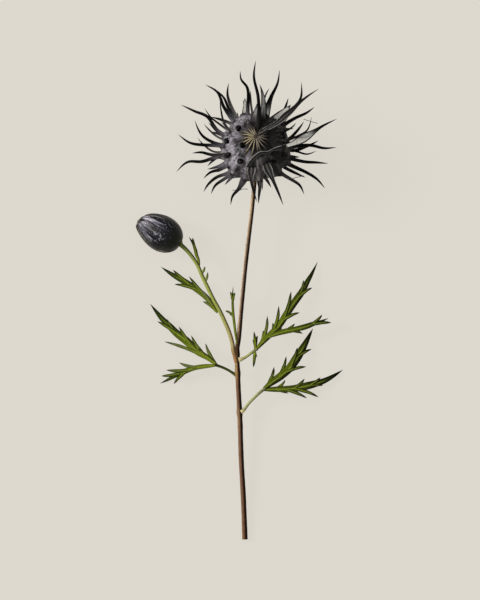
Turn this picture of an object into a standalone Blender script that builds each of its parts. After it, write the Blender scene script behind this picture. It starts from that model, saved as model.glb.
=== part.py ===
"""A cut sprig of nigella, lying down: a spiny seed head, one closed bud, the stems and the cut leaves.

Metres, +Z up. The sprig lies on the plane z = 0 with its head towards +Y and its cut end towards -Y.
Sizes and places below are in millimetres, and metres are made where vertices are. A plan is a list of
(x, y) points, and gets its heights from a rule. Angles are in degrees, anticlockwise from +X.
"""

import math
import random

import bmesh
import bpy
from mathutils import Matrix, Vector

MM = 0.001
UP = Vector((0.0, 0.0, 1.0))
GAP = 0.3  # air left where two pieces meet
FLOOR = 0.05  # lowest that a spine or a leaf tip comes

# Main stem: a straight brown stalk that rises from its cut end to the head
STEM_RADIUS = 1.35  # at the cut end
STEM_TOP_RADIUS = 1.1
STEM_CUT = (2.5, -119.5)
STEM_PLAN = [STEM_CUT, (1.75, -99.5), (0.65, -79.5), (0.0, -59.5), (-1.0, -39.5), (-1.5, -25.5),
             (-0.6, -18.0), (1.0, 0.5), (3.0, 20.5), (5.35, 40.5), (6.25, 49.0)]
STEM_RISE = 0.0766  # climb for each millimetre along Y
STEM_NODES = [(-26.5, 0.35), (-36.0, 0.25), (-55.5, 0.3), (-63.0, 0.12)]  # (y, swelling)
NODE_LENGTH = 1.8
STEM_STATIONS, STEM_SIDES = 40, 8

# Side stalk: a green branch that carries the bud
STALK_PLAN = [(-3.45, -26.2), (-3.4, -24.6), (-3.9, -20.9), (-5.4, -15.7), (-7.6, -10.4), (-10.3, -4.6),
              (-13.5, 1.2), (-16.5, 7.5), (-19.1, 12.9), (-21.2, 17.8), (-24.0, 22.2), (-27.2, 25.9)]
STALK_RADIUS = 1.12
STALK_NARROWING = 0.25  # share of the radius lost along it
STALK_HEIGHTS = (10.2, 12.0, 8.7)  # at its root, half way and at the bud
STALK_TEETH = [((-17.4, 9.6), (-16.1, 14.4)), ((-19.2, 13.6), (-17.5, 17.3))]
TOOTH_HALF_WIDTH = 0.6
STALK_STATIONS, STALK_SIDES = 20, 7

# Bud: an egg of folded sepals that rests on a small flat spot
BUD_BASE = (-29.8, 28.4)
BUD_APEX = (-50.5, 40.5)
BUD_RADIUS = 9.1
BUD_CENTRE_HEIGHT = 8.3
BUD_SKEW = 0.87  # under 1 moves its widest part towards the stalk
BUD_BLUNTNESS = 0.45  # lower is blunter at both ends
BUD_TIP_BLUNTNESS = 0.12
BUD_RIBS = 6
BUD_RIB_DEPTH = 0.035  # share of the radius
BUD_SIDES, BUD_RINGS = 24, 13

# Seed head: a globe with its pole of rays turned to the light and its neck on the stem
HEAD_CENTRE = Vector((8.2, 76.0, 27.0))
HEAD_RADIUS = 16.5
APEX = Vector((-0.03, 0.316, 0.948)).normalized()
NECK = Vector((-0.05, -0.85, -0.52)).normalized()
NECK_LENGTH = 2.6
NECK_SUNK = 2.5  # how deep the neck starts in the globe
NECK_FLARE = 1.4
HEAD_FOLDS = 9
HEAD_FOLD_DEPTH = 0.03  # share of the radius
HEAD_SIDES, HEAD_RINGS = 27, 12
SPINE_ROOT = 0.8  # share of the head's radius at which a spine starts, inside the globe

# Spines round the rim, as (headings at even steps from root to tip, reach seen from above, lift at the
# root, lift at the tip, kind)
RIM_SPINES = [
    ((88, 86, 88, 92, 90.5), 43.5, 54, 6, "spine"),
    ((101, 97, 93, 90, 88), 23.0, 44, 34, "sail"),
    ((76, 78, 80, 83, 87), 31.5, 40, 22, "sail"),
    ((113, 110, 107, 104.5, 103), 25.7, 12, 8, "sail"),
    ((73, 74.5, 74, 72, 73.5), 40.5, 24, 8, "broad"),
    ((45, 46, 47.5, 48.5, 56), 40.0, -16, -10, "spine"),
    ((84, 54, 47.5, 46, 43.5), 42.5, 62, 14, "strap"),
    ((41, 40, 38, 35.5, 35.5), 35.5, 6, -6, "spine"),
    ((-1, 5.5, 12.5, 18, 20), 42.5, 44, 10, "lens"),
    ((12, 14, 16, 19, 29), 31.0, 30, 38, "fine"),
    ((2, 3.5, 3.5, 0.5, 1), 40.0, -8, -14, "spine"),
    ((1, -1, -4, -6, -2), 30.0, -30, -22, "fine"),
    ((-17, -17, -16, -13.5, -12), 36.5, 20, 4, "spine"),
    ((-26, -26, -25.5, -26.5, -30), 39.5, -4, -16, "spine"),
    ((-47, -45, -42, -40.5, -44), 33.0, 10, -4, "spine"),
    ((-54, -61.5, -63, -64, -65), 31.3, 66, 14, "bract"),
    ((-84, -84.5, -85, -87, -88), 27.7, 30, 14, "broad"),
    ((-107, -104, -100, -94.5, -89.5), 26.8, 62, 28, "bract"),
    ((-75, -74, -73, -71, -70), 21.0, 36, 36, "broad"),
    ((-111, -112, -113.5, -116.5, -114.5), 31.0, 18, 2, "broad"),
    ((-133, -134, -136.5, -138, -135), 32.0, 16, -4, "spine"),
    ((-136, -139, -144, -144, -141), 34.0, -14, -22, "spine"),
    ((-146, -148, -149.5, -152, -150), 30.5, 26, 20, "spine"),
    ((-151, -152.5, -154, -155.5, -157), 26.5, 2, -6, "broad"),
    ((-166, -167.5, -166.5, -169, -164), 41.5, -2, -12, "spine"),
    ((-166, -168, -171, -175, -175), 32.0, 24, 30, "spine"),
    ((176, 176, 176.5, 175.5, 170), 39.5, 8, 4, "spine"),
    ((187, 186, 184, 177, 169), 30.0, -26, -30, "fine"),
    ((177, 175.5, 172.5, 167, 156), 33.5, 30, 22, "spine"),
    ((167, 165, 162.5, 158.5, 154.5), 29.0, -20, -26, "fine"),
    ((162, 160, 158.5, 155, 152), 27.0, 12, 20, "fine"),
    ((160, 156, 147.5, 149, 150), 43.5, 2, -4, "spine"),
    ((148, 147, 146, 145, 141.5), 33.0, -30, -34, "fine"),
    ((131, 130.5, 128.5, 125, 129), 40.5, 22, 10, "spine"),
    ((128, 127, 125, 122.5, 123.5), 35.0, -22, -26, "spine"),
    ((123, 122.5, 121, 118.5, 113), 35.5, 0, -10, "spine"),
    ((110, 105, 101.5, 99, 98.8, 102.6, 102), 39.0, 16, 18, "spine"),
    ((96, 96.5, 97, 96.5, 96), 29.5, -16, -26, "fine"),
    ((78, 79.5, 81, 80.5, 78), 31.0, -12, -22, "fine"),
    ((54, 53.5, 53, 52, 51.5), 27.5, 22, 14, "web"),
    ((33, 32, 30, 30, 32), 23.0, 28, 34, "fine"),
    ((150, 147, 142, 134, 127), 30.0, 34, 34, "fine"),
    ((-130, -131, -131, -131, -131), 24.0, -2, -8, "broad"),
]

# Stubs: thick spines that stand up from the upper face, as (x, y) of the root from the head's centre
FACE_SPINES = [(-8.8, 9.7), (-14.6, 3.5), (-6.9, 1.2), (-14.2, -3.6), (-8.0, -6.6), (13.2, 6.0), (8.4, -7.2),
               (13.6, -3.4)]
FACE_LENGTH = 5.0
FACE_SIDES = 6
FACE_LEAN = 0.9  # most that a tip stands aside of its root
# Spines of the underside stand in a spiral, and the low ones bend along the surface
UNDER_SPINES = 26
UNDER_LIFTS = (-28.0, -88.0)
UNDER_REACH = 34.0
UNDER_REACH_SHARES = (0.9, 1.08)
UNDER_SWAY = 12.0
GOLDEN_ANGLE = 137.508
NECK_CLEAR = 27.0  # no spine of the underside stands nearer to the neck than this angle

# Half widths by kind: (flare at the root, power it falls by, slender body, swelling, the share of the
# length where it swells, depth as a share of the width)
SPINE_KINDS = {"spine": (0.9, 5, 0.78, 0.0, 0.3, 0.8), "fine": (0.4, 5, 0.5, 0.0, 0.3, 0.8),
               "broad": (1.9, 3, 0.7, 0.3, 0.3, 0.5), "bract": (0.3, 3, 0.75, 1.3, 0.3, 0.4),
               "lens": (0.3, 3, 0.75, 1.4, 0.46, 0.4), "strap": (0.3, 3, 0.75, 0.8, 0.48, 0.4),
               "sail": (2.0, 1, 0.45, 0.0, 0.3, 0.25), "web": (4.4, 1, 0.45, 0.0, 0.3, 0.14),
               "stub": (0.4, 5, 1.45, 0.0, 0.3, 1.0)}
SWELL_LENGTH = 0.16
SPINE_LEAST_DEPTH = 0.8  # half depth as a share of the slender body
SPINE_STATIONS = 9

# Rays: a star of thin pale ribs that lies on the head round its pole
RAYS = 20
RAY_LENGTHS = (6.5, 10.0)
RAY_START = 0.6  # inside the hub
RAY_LEAST = 3.0  # a ray with less room than this is left out
RAY_STEP = 0.5
RAY_SCATTER = 0.2  # share of the even spacing
RAY_HALF_WIDTH = 0.42
RAY_NARROWING = 0.3
RAY_HALF_DEPTH = 0.31
RAY_STATIONS = 4
RAY_CLEAR = 2.4  # room left round a spine's root
HIGH_ROOT = 20.0  # a spine that starts higher than this, in degrees, may stand in a ray's way
RAY_TURN = 0.02  # radians that a ray bends at each station
HUB_RADIUS = 1.4
HUB_HALF_HEIGHT = 0.55
HUB_LIFT = 0.25
HUB_SIDES, HUB_RINGS = 10, 4

# Leaves: each frond is (half width, plan of its midrib, height of its root, height of its tip, lobes), and
# a lobe is (share of the midrib that it leaves at, plan of its tip). A frond with no lobes is a petiole.
LEAF_HALF_DEPTH = 0.36
LOBE_HALF_WIDTHS = (0.42, 0.05, 0.85)  # at no length, for each millimetre of length, and at most
PETIOLE_FLATNESS = 0.9
LOBE_DROOP = 0.12  # fall for each millimetre of length
LOBE_BEND = 0.07
DROOP_POWER = 1.5
FROND_STATIONS, PETIOLE_STATIONS, LOBE_STATIONS = 9, 6, 5
BLADE_SIDES, PETIOLE_SIDES = 4, 5
LEAVES = {
    "leaf_left": [
        (0.65, [(-3.2, -36.3), (-5.9, -34.6), (-9.1, -33.1), (-12.6, -31.9)], 7.7, 7.9, []),
        (2.2, [(-11.6, -32.1), (-15.9, -28.6), (-21.4, -25.2), (-26.4, -20.4), (-31.7, -16.2), (-35.4, -12.5),
               (-38.6, -9.4), (-41.7, -5.7), (-45.1, -1.4)], 7.9, 0.6,
         [(0.04, (-17.3, -21.2)), (0.18, (-24.5, -17.2)), (0.37, (-30.6, -12.8)),
          (0.62, (-36.7, -9.0)), (0.58, (-41.4, -10.2)), (0.21, (-37.9, -20.3))]),
        (1.5, [(-11.6, -32.2), (-18.6, -32.8), (-23.8, -33.8), (-28.0, -35.4), (-32.2, -37.3),
                (-36.4, -39.6), (-40.2, -41.4)], 7.8, 0.6,
         [(0.36, (-30.4, -30.9)), (0.5, (-37.0, -34.6)), (0.64, (-39.4, -37.6)),
          (0.52, (-33.2, -41.6))]),
    ],
    "leaf_of_stalk": [
        (1.8, [(-12.75, -4.1), (-14.6, -0.9), (-16.5, 1.4), (-18.6, 3.4), (-21.7, 5.8), (-24.9, 8.0),
               (-29.1, 10.5), (-34.0, 13.3), (-39.8, 17.2)], 11.0, 2.0,
         [(0.54, (-33.6, 15.6)), (0.44, (-32.8, 8.4)), (0.28, (-25.5, 12.3)),
          (0.12, (-19.8, 6.2)), (0.08, (-18.6, -0.2))]),
    ],
    "leaflet_by_bud": [
        (0.95, [(-20.6, 19.4), (-21.0, 21.2), (-21.7, 22.9), (-22.4, 25.9), (-23.6, 28.9), (-25.6, 32.2)],
         10.2, 11.0, [(0.62, (-23.7, 31.7))]),
    ],
    "leaf_in_axil": [
        (0.8, [(-1.5, -21.5), (-1.8, -19.6), (-2.7, -12.6), (-3.3, -7.3), (-3.6, -3.0), (-3.7, 2.2),
               (-3.4, 7.6)], 10.7, 9.9,
         [(0.78, (-4.9, 4.7)), (0.76, (-2.4, 4.3)), (0.5, (-7.4, -4.9))]),
    ],
    "leaf_right_upper": [
        (0.65, [(0.7, -29.4), (2.9, -28.0), (5.4, -26.2), (8.6, -23.9)], 8.2, 9.6, []),
        (2.1, [(7.6, -24.6), (11.4, -20.5), (15.0, -16.9), (19.3, -12.6), (22.9, -7.2), (26.5, -1.7),
                (30.8, 4.3), (33.8, 9.8), (36.2, 14.0), (39.0, 19.8)], 9.6, 0.6,
         [(0.11, (13.7, -7.5)), (0.09, (11.6, -14.6)), (0.25, (19.4, -2.4)),
          (0.23, (16.3, -10.9)), (0.42, (25.6, 4.9)), (0.68, (31.8, 10.5)),
          (0.38, (29.9, -5.8)), (0.64, (36.2, 6.7))]),
        (1.65, [(14.2, -18.2), (18.7, -16.3), (22.9, -15.1), (27.8, -14.1), (32.6, -12.9), (36.8, -11.4),
                (40.5, -10.2), (44.4, -8.6)], 9.4, 7.2,
         [(0.29, (27.5, -11.3)), (0.14, (21.1, -13.4)), (0.37, (31.4, -16.3)),
          (0.74, (41.2, -6.8)), (0.76, (45.7, -10.8))]),
        (1.0, [(7.7, -25.4), (7.6, -20.5), (7.0, -15.2)], 9.5, 9.8,
         [(0.3, (6.3, -19.5)), (0.3, (8.8, -17.2))]),
        (0.9, [(7.4, -24.0), (7.2, -29.0), (6.7, -33.3)], 9.4, 8.6, [(0.2, (8.6, -28.0))]),
    ],
    "leaf_right_lower": [
        (0.65, [(2.1, -54.5), (4.4, -51.3), (6.7, -48.9), (9.6, -46.1), (12.8, -43.6)], 6.1, 6.8, []),
        (2.5, [(11.9, -44.0), (16.3, -40.5), (20.5, -37.5), (24.7, -33.8), (27.8, -29.6), (30.8, -24.7),
                (33.8, -19.3), (36.6, -13.7)], 6.8, 0.6,
         [(0.08, (17.1, -33.0)), (0.25, (23.2, -27.7)), (0.46, (28.7, -23.3)),
          (0.36, (33.2, -32.9)), (0.6, (35.9, -24.1))]),
        (2.1, [(11.9, -44.4), (17.5, -44.2), (22.3, -44.1), (27.2, -43.8), (32.0, -42.9), (36.8, -41.7),
                (41.7, -40.2), (46.5, -37.8), (51.7, -34.5)], 6.7, 0.6,
         [(0.16, (22.7, -39.5)), (0.37, (32.4, -38.9)), (0.57, (40.4, -38.3)),
          (0.14, (24.2, -46.3)), (0.26, (33.6, -48.7)), (0.38, (39.4, -48.2)),
          (0.56, (41.6, -42.3))]),
    ],
}


def material(name, red, green, blue, roughness):
    """A plain finish: its colour as an sRGB triple from 0 to 255."""
    made = bpy.data.materials.new(name)
    made.use_nodes = True
    shader = made.node_tree.nodes["Principled BSDF"]
    shader.inputs["Base Color"].default_value = [(part / 255) ** 2.2 for part in (red, green, blue)] + [1.0]
    shader.inputs["Roughness"].default_value = roughness
    shader.inputs["Metallic"].default_value = 0.0
    return made


def smooth_path(points, stations):
    """Evenly spaced stations on one smooth curve through the points."""
    points = [Vector(point) for point in points]
    ends = [2 * points[0] - points[1], *points, 2 * points[-1] - points[-2]]
    steps = 12
    curve = []
    for a, b, c, d in zip(ends, ends[1:], ends[2:], ends[3:]):
        for t in (step / steps for step in range(steps)):
            bend = (2 * a - 5 * b + 4 * c - d) * t**2 + (3 * b - a - 3 * c + d) * t**3
            curve.append(b + ((c - a) * t + bend) / 2)
    curve.append(points[-1])
    travelled = [0.0]
    for a, b in zip(curve, curve[1:]):
        travelled.append(travelled[-1] + (b - a).length)
    return [point_at(curve, travelled, travelled[-1] * i / (stations - 1)) for i in range(stations)]


def point_at(curve, travelled, distance):
    for a, b, before, after in zip(curve, curve[1:], travelled, travelled[1:]):
        if distance <= after:
            return a.lerp(b, (distance - before) / (after - before))
    return curve[-1].copy()


def direction_at(path, index):
    return (path[min(index + 1, len(path) - 1)] - path[max(index - 1, 0)]).normalized()


def join_rings(bm, lower, upper):
    """Triangles between two rings, split alike on both faces of a blade."""
    count = len(lower)
    for k in range(count):
        a, b, c, d = lower[k], lower[(k + 1) % count], upper[(k + 1) % count], upper[k]
        if k % 2:
            bm.faces.new((a, b, d))
            bm.faces.new((b, c, d))
        else:
            bm.faces.new((a, b, c))
            bm.faces.new((a, c, d))


def swept(name, path, half_width, half_depth, facing, sides, pointed=True):
    """A closed body along a path, whose sizes are functions of the share of its length.

    facing is the way the flat side looks. The root is cut flat, and the tip is a point or a flat cut.
    """
    bm = bmesh.new()
    last = len(path) - 1
    rings = []
    for i, point in enumerate(path[:-1] if pointed else path):
        along = direction_at(path, i)
        across = along.cross(facing).normalized() * half_width(i / last)
        out = across.cross(along).normalized() * half_depth(i / last)
        turns = [math.tau * k / sides for k in range(sides)]
        rings.append([bm.verts.new(MM * (point + across * math.cos(a) + out * math.sin(a))) for a in turns])
    for lower, upper in zip(rings, rings[1:]):
        join_rings(bm, lower, upper)
    bm.faces.new(reversed(rings[0]))
    if pointed:
        tip = bm.verts.new(MM * path[-1])
        for k in range(sides):
            bm.faces.new((rings[-1][k], rings[-1][(k + 1) % sides], tip))
    else:
        bm.faces.new(rings[-1])
    bmesh.ops.recalc_face_normals(bm, faces=bm.faces)
    mesh = bpy.data.meshes.new(name)
    bm.to_mesh(mesh)
    bm.free()
    return mesh


def turned(name, centre, axis, radius_at, sides, rings):
    """A closed globe about an axis: radius_at gives (distance along the axis, radius) for an angle
    from the far pole in radians and a turn about the axis."""
    frame = axis.to_track_quat("Z", "Y").to_matrix()
    bm = bmesh.new()
    loops = []
    for i in range(1, rings):
        loop = []
        for k in range(sides):
            turn = math.tau * k / sides
            along, radius = radius_at(math.pi * i / rings, turn)
            place = frame @ Vector((radius * math.cos(turn), radius * math.sin(turn), along))
            loop.append(bm.verts.new(MM * (centre + place)))
        loops.append(loop)
    for lower, upper in zip(loops, loops[1:]):
        join_rings(bm, lower, upper)
    for angle, loop in ((0.0, loops[0]), (math.pi, loops[-1])):
        pole = bm.verts.new(MM * (centre + frame @ Vector((0.0, 0.0, radius_at(angle, 0.0)[0]))))
        for k in range(sides):
            bm.faces.new((loop[k], loop[(k + 1) % sides], pole))
    bmesh.ops.recalc_face_normals(bm, faces=bm.faces)
    mesh = bpy.data.meshes.new(name)
    bm.to_mesh(mesh)
    bm.free()
    return mesh


def placed(name, mesh, finish):
    node = bpy.data.objects.new(name, mesh)
    bpy.context.scene.collection.objects.link(node)
    mesh.materials.clear()
    mesh.materials.append(finish)
    mesh.shade_smooth()
    mesh.set_sharp_from_angle(angle=math.radians(50))
    return node


def grown_together(name, meshes, finish):
    """One closed body from pieces whose roots are sunk in the first."""
    node = placed(name, meshes[0], finish)
    helpers = bpy.data.collections.new(name + "_pieces")
    bpy.context.scene.collection.children.link(helpers)
    for mesh in meshes[1:]:
        helpers.objects.link(bpy.data.objects.new(mesh.name, mesh))
    union = node.modifiers.new("Grow together", "BOOLEAN")
    union.operation = "UNION"
    union.operand_type = "COLLECTION"
    union.collection = helpers
    union.solver = "EXACT"
    bpy.context.view_layer.update()
    joined = bpy.data.meshes.new_from_object(node.evaluated_get(bpy.context.evaluated_depsgraph_get()))
    node.modifiers.clear()
    node.data = joined
    for helper in list(helpers.objects):
        bpy.data.objects.remove(helper)
    bpy.data.collections.remove(helpers)
    return node


def stem_height(y):
    return STEM_RADIUS + STEM_RISE * (y - STEM_CUT[1])


def stem_radius(y):
    """A slow taper from the cut end to the head, with a swelling at each node."""
    share = (y - STEM_CUT[1]) / (STEM_PLAN[-1][1] - STEM_CUT[1])
    taper = STEM_RADIUS + (STEM_TOP_RADIUS - STEM_RADIUS) * min(share, 1.0)
    return taper + sum(rise * math.exp(-(((y - at) / NODE_LENGTH) ** 2)) for at, rise in STEM_NODES)


def stem_path():
    """The stem's centre line: straight up the rise, and bent up at last to meet the neck."""
    end = HEAD_CENTRE + NECK * (HEAD_RADIUS + NECK_LENGTH + GAP)
    rising = [(x, y, stem_height(y)) for x, y in STEM_PLAN]
    return smooth_path([*rising, end + NECK * 3.0, end], STEM_STATIONS)


def main_stem(finish):
    path = stem_path()

    def radius(share):
        return stem_radius(path[round(share * (len(path) - 1))].y)

    mesh = swept("main_stem", path, radius, radius, UP, STEM_SIDES, pointed=False)
    placed("main_stem", mesh, finish)


def stalk_path():
    root, middle, bud = STALK_HEIGHTS
    points = []
    for i, (x, y) in enumerate(STALK_PLAN):
        share = i / (len(STALK_PLAN) - 1)
        arch = 4 * share * (1 - share)
        points.append((x, y, root + (bud - root) * share + (middle - (root + bud) / 2) * arch))
    end = bud_base() - bud_axis() * GAP * 1.5
    return smooth_path([*points, end - bud_axis() * 1.2, end], STALK_STATIONS)


def side_stalk(finish):
    path = stalk_path()

    def radius(share):
        """Narrow where it leaves the stem, and a little collar under the bud."""
        narrowing = 1 - STALK_NARROWING * share
        return STALK_RADIUS * (narrowing + 0.35 * share**12 - 0.4 * math.exp(-25 * share))

    meshes = [swept("side_stalk", path, radius, radius, UP, STALK_SIDES, pointed=False)]
    for (x, y), (tip_x, tip_y) in STALK_TEETH:
        height = min(path, key=lambda point: (point.x - x) ** 2 + (point.y - y) ** 2).z
        middle = ((x + tip_x) / 2 + 0.3, (y + tip_y) / 2, height + 0.4)
        tooth = smooth_path([(x, y, height), middle, (tip_x, tip_y, height + 0.6)], LOBE_STATIONS)
        meshes.append(swept("tooth", tooth, lobe_taper(TOOTH_HALF_WIDTH), thin, UP, BLADE_SIDES))
    grown_together("side_stalk", meshes, finish)


def bud_axis():
    return Vector((BUD_APEX[0] - BUD_BASE[0], BUD_APEX[1] - BUD_BASE[1], 0.0)).normalized()


def bud_base():
    return Vector((*BUD_BASE, BUD_CENTRE_HEIGHT))


def bud_radius(share):
    """Egg profile: widest nearer the stalk, blunt at both ends and bluntest at the tip."""
    power = BUD_BLUNTNESS - BUD_TIP_BLUNTNESS * share**8
    return BUD_RADIUS * max(math.sin(math.pi * share**BUD_SKEW), 0.0) ** power


def bud(finish):
    length = (Vector(BUD_APEX) - Vector(BUD_BASE)).length

    def profile(angle, turn):
        share = (1 + math.cos(angle)) / 2
        ribs = 1 - BUD_RIB_DEPTH * abs(math.sin(turn * BUD_RIBS / 2)) ** 3 * math.sin(angle)
        return share * length, bud_radius(share) * ribs

    mesh = turned("bud", bud_base(), bud_axis(), profile, BUD_SIDES, BUD_RINGS)
    for vertex in mesh.vertices:
        vertex.co.z = max(vertex.co.z, 0.0)
    placed("bud", mesh, finish)


def half_width_for(length, widths):
    least, growth, most = widths
    return min(least + growth * length, most)


def frond_taper(half_width):
    """A frond's body: narrow where its petiole ends, full towards the middle, and drawn to a point."""
    return lambda share: half_width * (1 - share**4) * (1 - 0.68 * math.exp(-4.5 * share))


def lobe_taper(half_width):
    """A lobe's outline: as broad for most of its length, with a blunt point."""
    return lambda share: half_width * (1 - share**5)


def thin(share):
    return LEAF_HALF_DEPTH * (1 - share**3)


def drooped(plan, start, end):
    """Heights for a plan: level at first, then down to the tip."""
    travelled = [0.0]
    for a, b in zip(plan, plan[1:]):
        travelled.append(travelled[-1] + math.dist(a, b))
    shares = [distance / travelled[-1] for distance in travelled]
    return [(x, y, start + (end - start) * share**DROOP_POWER) for (x, y), share in zip(plan, shares)]


def lobe(midrib, share, tip_plan):
    """A lobe that leaves the midrib nearly along it and bends out to its tip."""
    place = share * (len(midrib) - 1)
    index = int(place)
    root = midrib[index].lerp(midrib[index + 1], place - index)
    tip = Vector((*tip_plan, 0.0))
    level = Vector((tip.x - root.x, tip.y - root.y, 0.0))
    tip.z = max(root.z - LOBE_DROOP * level.length, LEAF_HALF_DEPTH + FLOOR)
    middle = root + level * 0.5 + direction_at(midrib, round(place)) * LOBE_BEND * level.length
    middle.z = (root.z + tip.z) / 2 + 0.1
    width = lobe_taper(half_width_for(level.length, LOBE_HALF_WIDTHS))
    return swept("lobe", smooth_path([root, middle, tip], LOBE_STATIONS), width, thin, UP, BLADE_SIDES)


def petiole(path, radius):
    def half_width(share):
        return radius

    def half_depth(share):
        return radius * PETIOLE_FLATNESS

    return swept("petiole", path, half_width, half_depth, UP, PETIOLE_SIDES, pointed=False)


def leaf(name, fronds, finish):
    meshes = []
    for half_width, plan, start, end, lobes in fronds:
        midrib = smooth_path(drooped(plan, start, end), FROND_STATIONS if lobes else PETIOLE_STATIONS)
        if not lobes:
            meshes.append(petiole(midrib, half_width))
            continue
        meshes.append(swept("midrib", midrib, frond_taper(half_width), thin, UP, BLADE_SIDES))
        meshes.extend(lobe(midrib, *row) for row in lobes)
    grown_together(name, meshes, finish)


def bearing(heading, lift):
    """A direction from its heading about Z and its lift above the level, in degrees."""
    heading, lift = math.radians(heading), math.radians(lift)
    return Vector((math.cos(lift) * math.cos(heading), math.cos(lift) * math.sin(heading), math.sin(lift)))


def blend(values, share):
    """A smooth run through values at even steps."""
    return smooth_number(values, share * (len(values) - 1))


def smooth_number(values, place):
    index = min(int(place), len(values) - 2)
    t = place - index
    a = values[index - 1] if index else 2 * values[0] - values[1]
    b, c = values[index], values[index + 1]
    d = values[index + 2] if index + 2 < len(values) else 2 * c - b
    bend = (2 * a - 5 * b + 4 * c - d) * t**2 + (3 * b - a - 3 * c + d) * t**3
    return b + ((c - a) * t + bend) / 2


def spine_widths(kind):
    """The half width and half depth of a spine along it: a flared root, a slender body and a fine tip."""
    flare, power, body, swelling, swells_at, flat = SPINE_KINDS[kind]

    def half_width(share):
        swell = swelling * math.exp(-(((share - swells_at) / SWELL_LENGTH) ** 2))
        return flare * (1 - share) ** power + body * (1 - share**5) + swell

    def half_depth(share):
        return max(flat * half_width(share), SPINE_LEAST_DEPTH * body * (1 - share**5))

    return half_width, half_depth


def spine(headings, lifts, reach, kind, facing, sides=4):
    """One spine from inside the globe to its tip, kept above the surface that the sprig lies on."""
    half_width, half_depth = spine_widths(kind)
    root = SPINE_ROOT * HEAD_RADIUS
    path = []
    for i in range(SPINE_STATIONS):
        share = i / (SPINE_STATIONS - 1)
        distance = root + (reach - root) * share
        point = HEAD_CENTRE + bearing(blend(headings, share), blend(lifts, share)) * distance
        point.z = max(point.z, half_width(share) + FLOOR)
        path.append(point)
    return swept("spine", path, half_width, half_depth, facing, sides)


def rim_spines():
    for headings, reach, low, high, kind in RIM_SPINES:
        across = reach / math.cos(math.radians(high))
        yield spine(headings, (low, high), across, kind, UP)


def face_roots():
    """Where the short spines of the face stand on the globe."""
    for x, y in FACE_SPINES:
        yield Vector((x, y, math.sqrt(HEAD_RADIUS**2 - x**2 - y**2)))


def face_spines(draw):
    half_width, half_depth = spine_widths("stub")
    for root in face_roots():
        rise = Vector((draw.uniform(-FACE_LEAN, FACE_LEAN), draw.uniform(-FACE_LEAN, FACE_LEAN), FACE_LENGTH))
        points = [root * SPINE_ROOT, root, root + rise / 2, root + rise]
        path = [HEAD_CENTRE + point for point in smooth_path(points, SPINE_STATIONS)]
        yield swept("stub", path, half_width, half_depth, Vector((0, 1, 0)), FACE_SIDES)


def under_spines(draw):
    first, last = (math.sin(math.radians(lift)) for lift in UNDER_LIFTS)
    for i in range(UNDER_SPINES):
        lift = math.degrees(math.asin(first + (last - first) * i / (UNDER_SPINES - 1)))
        heading = i * GOLDEN_ANGLE
        sway = draw.uniform(-UNDER_SWAY, UNDER_SWAY)
        reach = UNDER_REACH * draw.uniform(*UNDER_REACH_SHARES)
        if bearing(heading, lift).angle(NECK) < math.radians(NECK_CLEAR):
            continue
        headings = (heading, heading - sway / 3, heading + sway / 3, heading + sway)
        level = math.degrees(math.asin(min(HEAD_CENTRE.z / reach, 1.0)))
        yield spine(headings, (lift, max(lift, -level)), reach, "spine", UP, sides=3)


def globe():
    """The head's core: a globe whose folds run from pole to pole and fade out at both."""

    def profile(angle, turn):
        folds = 1 + HEAD_FOLD_DEPTH * math.cos(HEAD_FOLDS * turn) * math.sin(angle) ** 4
        return HEAD_RADIUS * math.cos(angle), HEAD_RADIUS * math.sin(angle) * folds

    return turned("seed_head", HEAD_CENTRE, APEX, profile, HEAD_SIDES, HEAD_RINGS)


def neck():
    """The receptacle: the short cone between the globe and the stem."""
    steps = (-NECK_SUNK, 0.0, NECK_LENGTH / 2, NECK_LENGTH)
    path = [HEAD_CENTRE + NECK * (HEAD_RADIUS + step) for step in steps]

    def radius(share):
        return STEM_TOP_RADIUS + NECK_FLARE * (1 - share) ** 2

    return swept("neck", path, radius, radius, UP, STEM_SIDES, pointed=False)


def seed_head(finish):
    draw = random.Random(4)
    spines = [*rim_spines(), *face_spines(draw), *under_spines(draw)]
    grown_together("seed_head", [globe(), neck(), *spines], finish)


def high_roots():
    """Where the spines of the upper half come out of the globe."""
    start = SPINE_ROOT * HEAD_RADIUS
    for headings, reach, low, high, _ in RIM_SPINES:
        if low > HIGH_ROOT:
            share = (HEAD_RADIUS - start) / (reach / math.cos(math.radians(high)) - start)
            yield bearing(blend(headings, share), low + (high - low) * share) * HEAD_RADIUS


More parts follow.
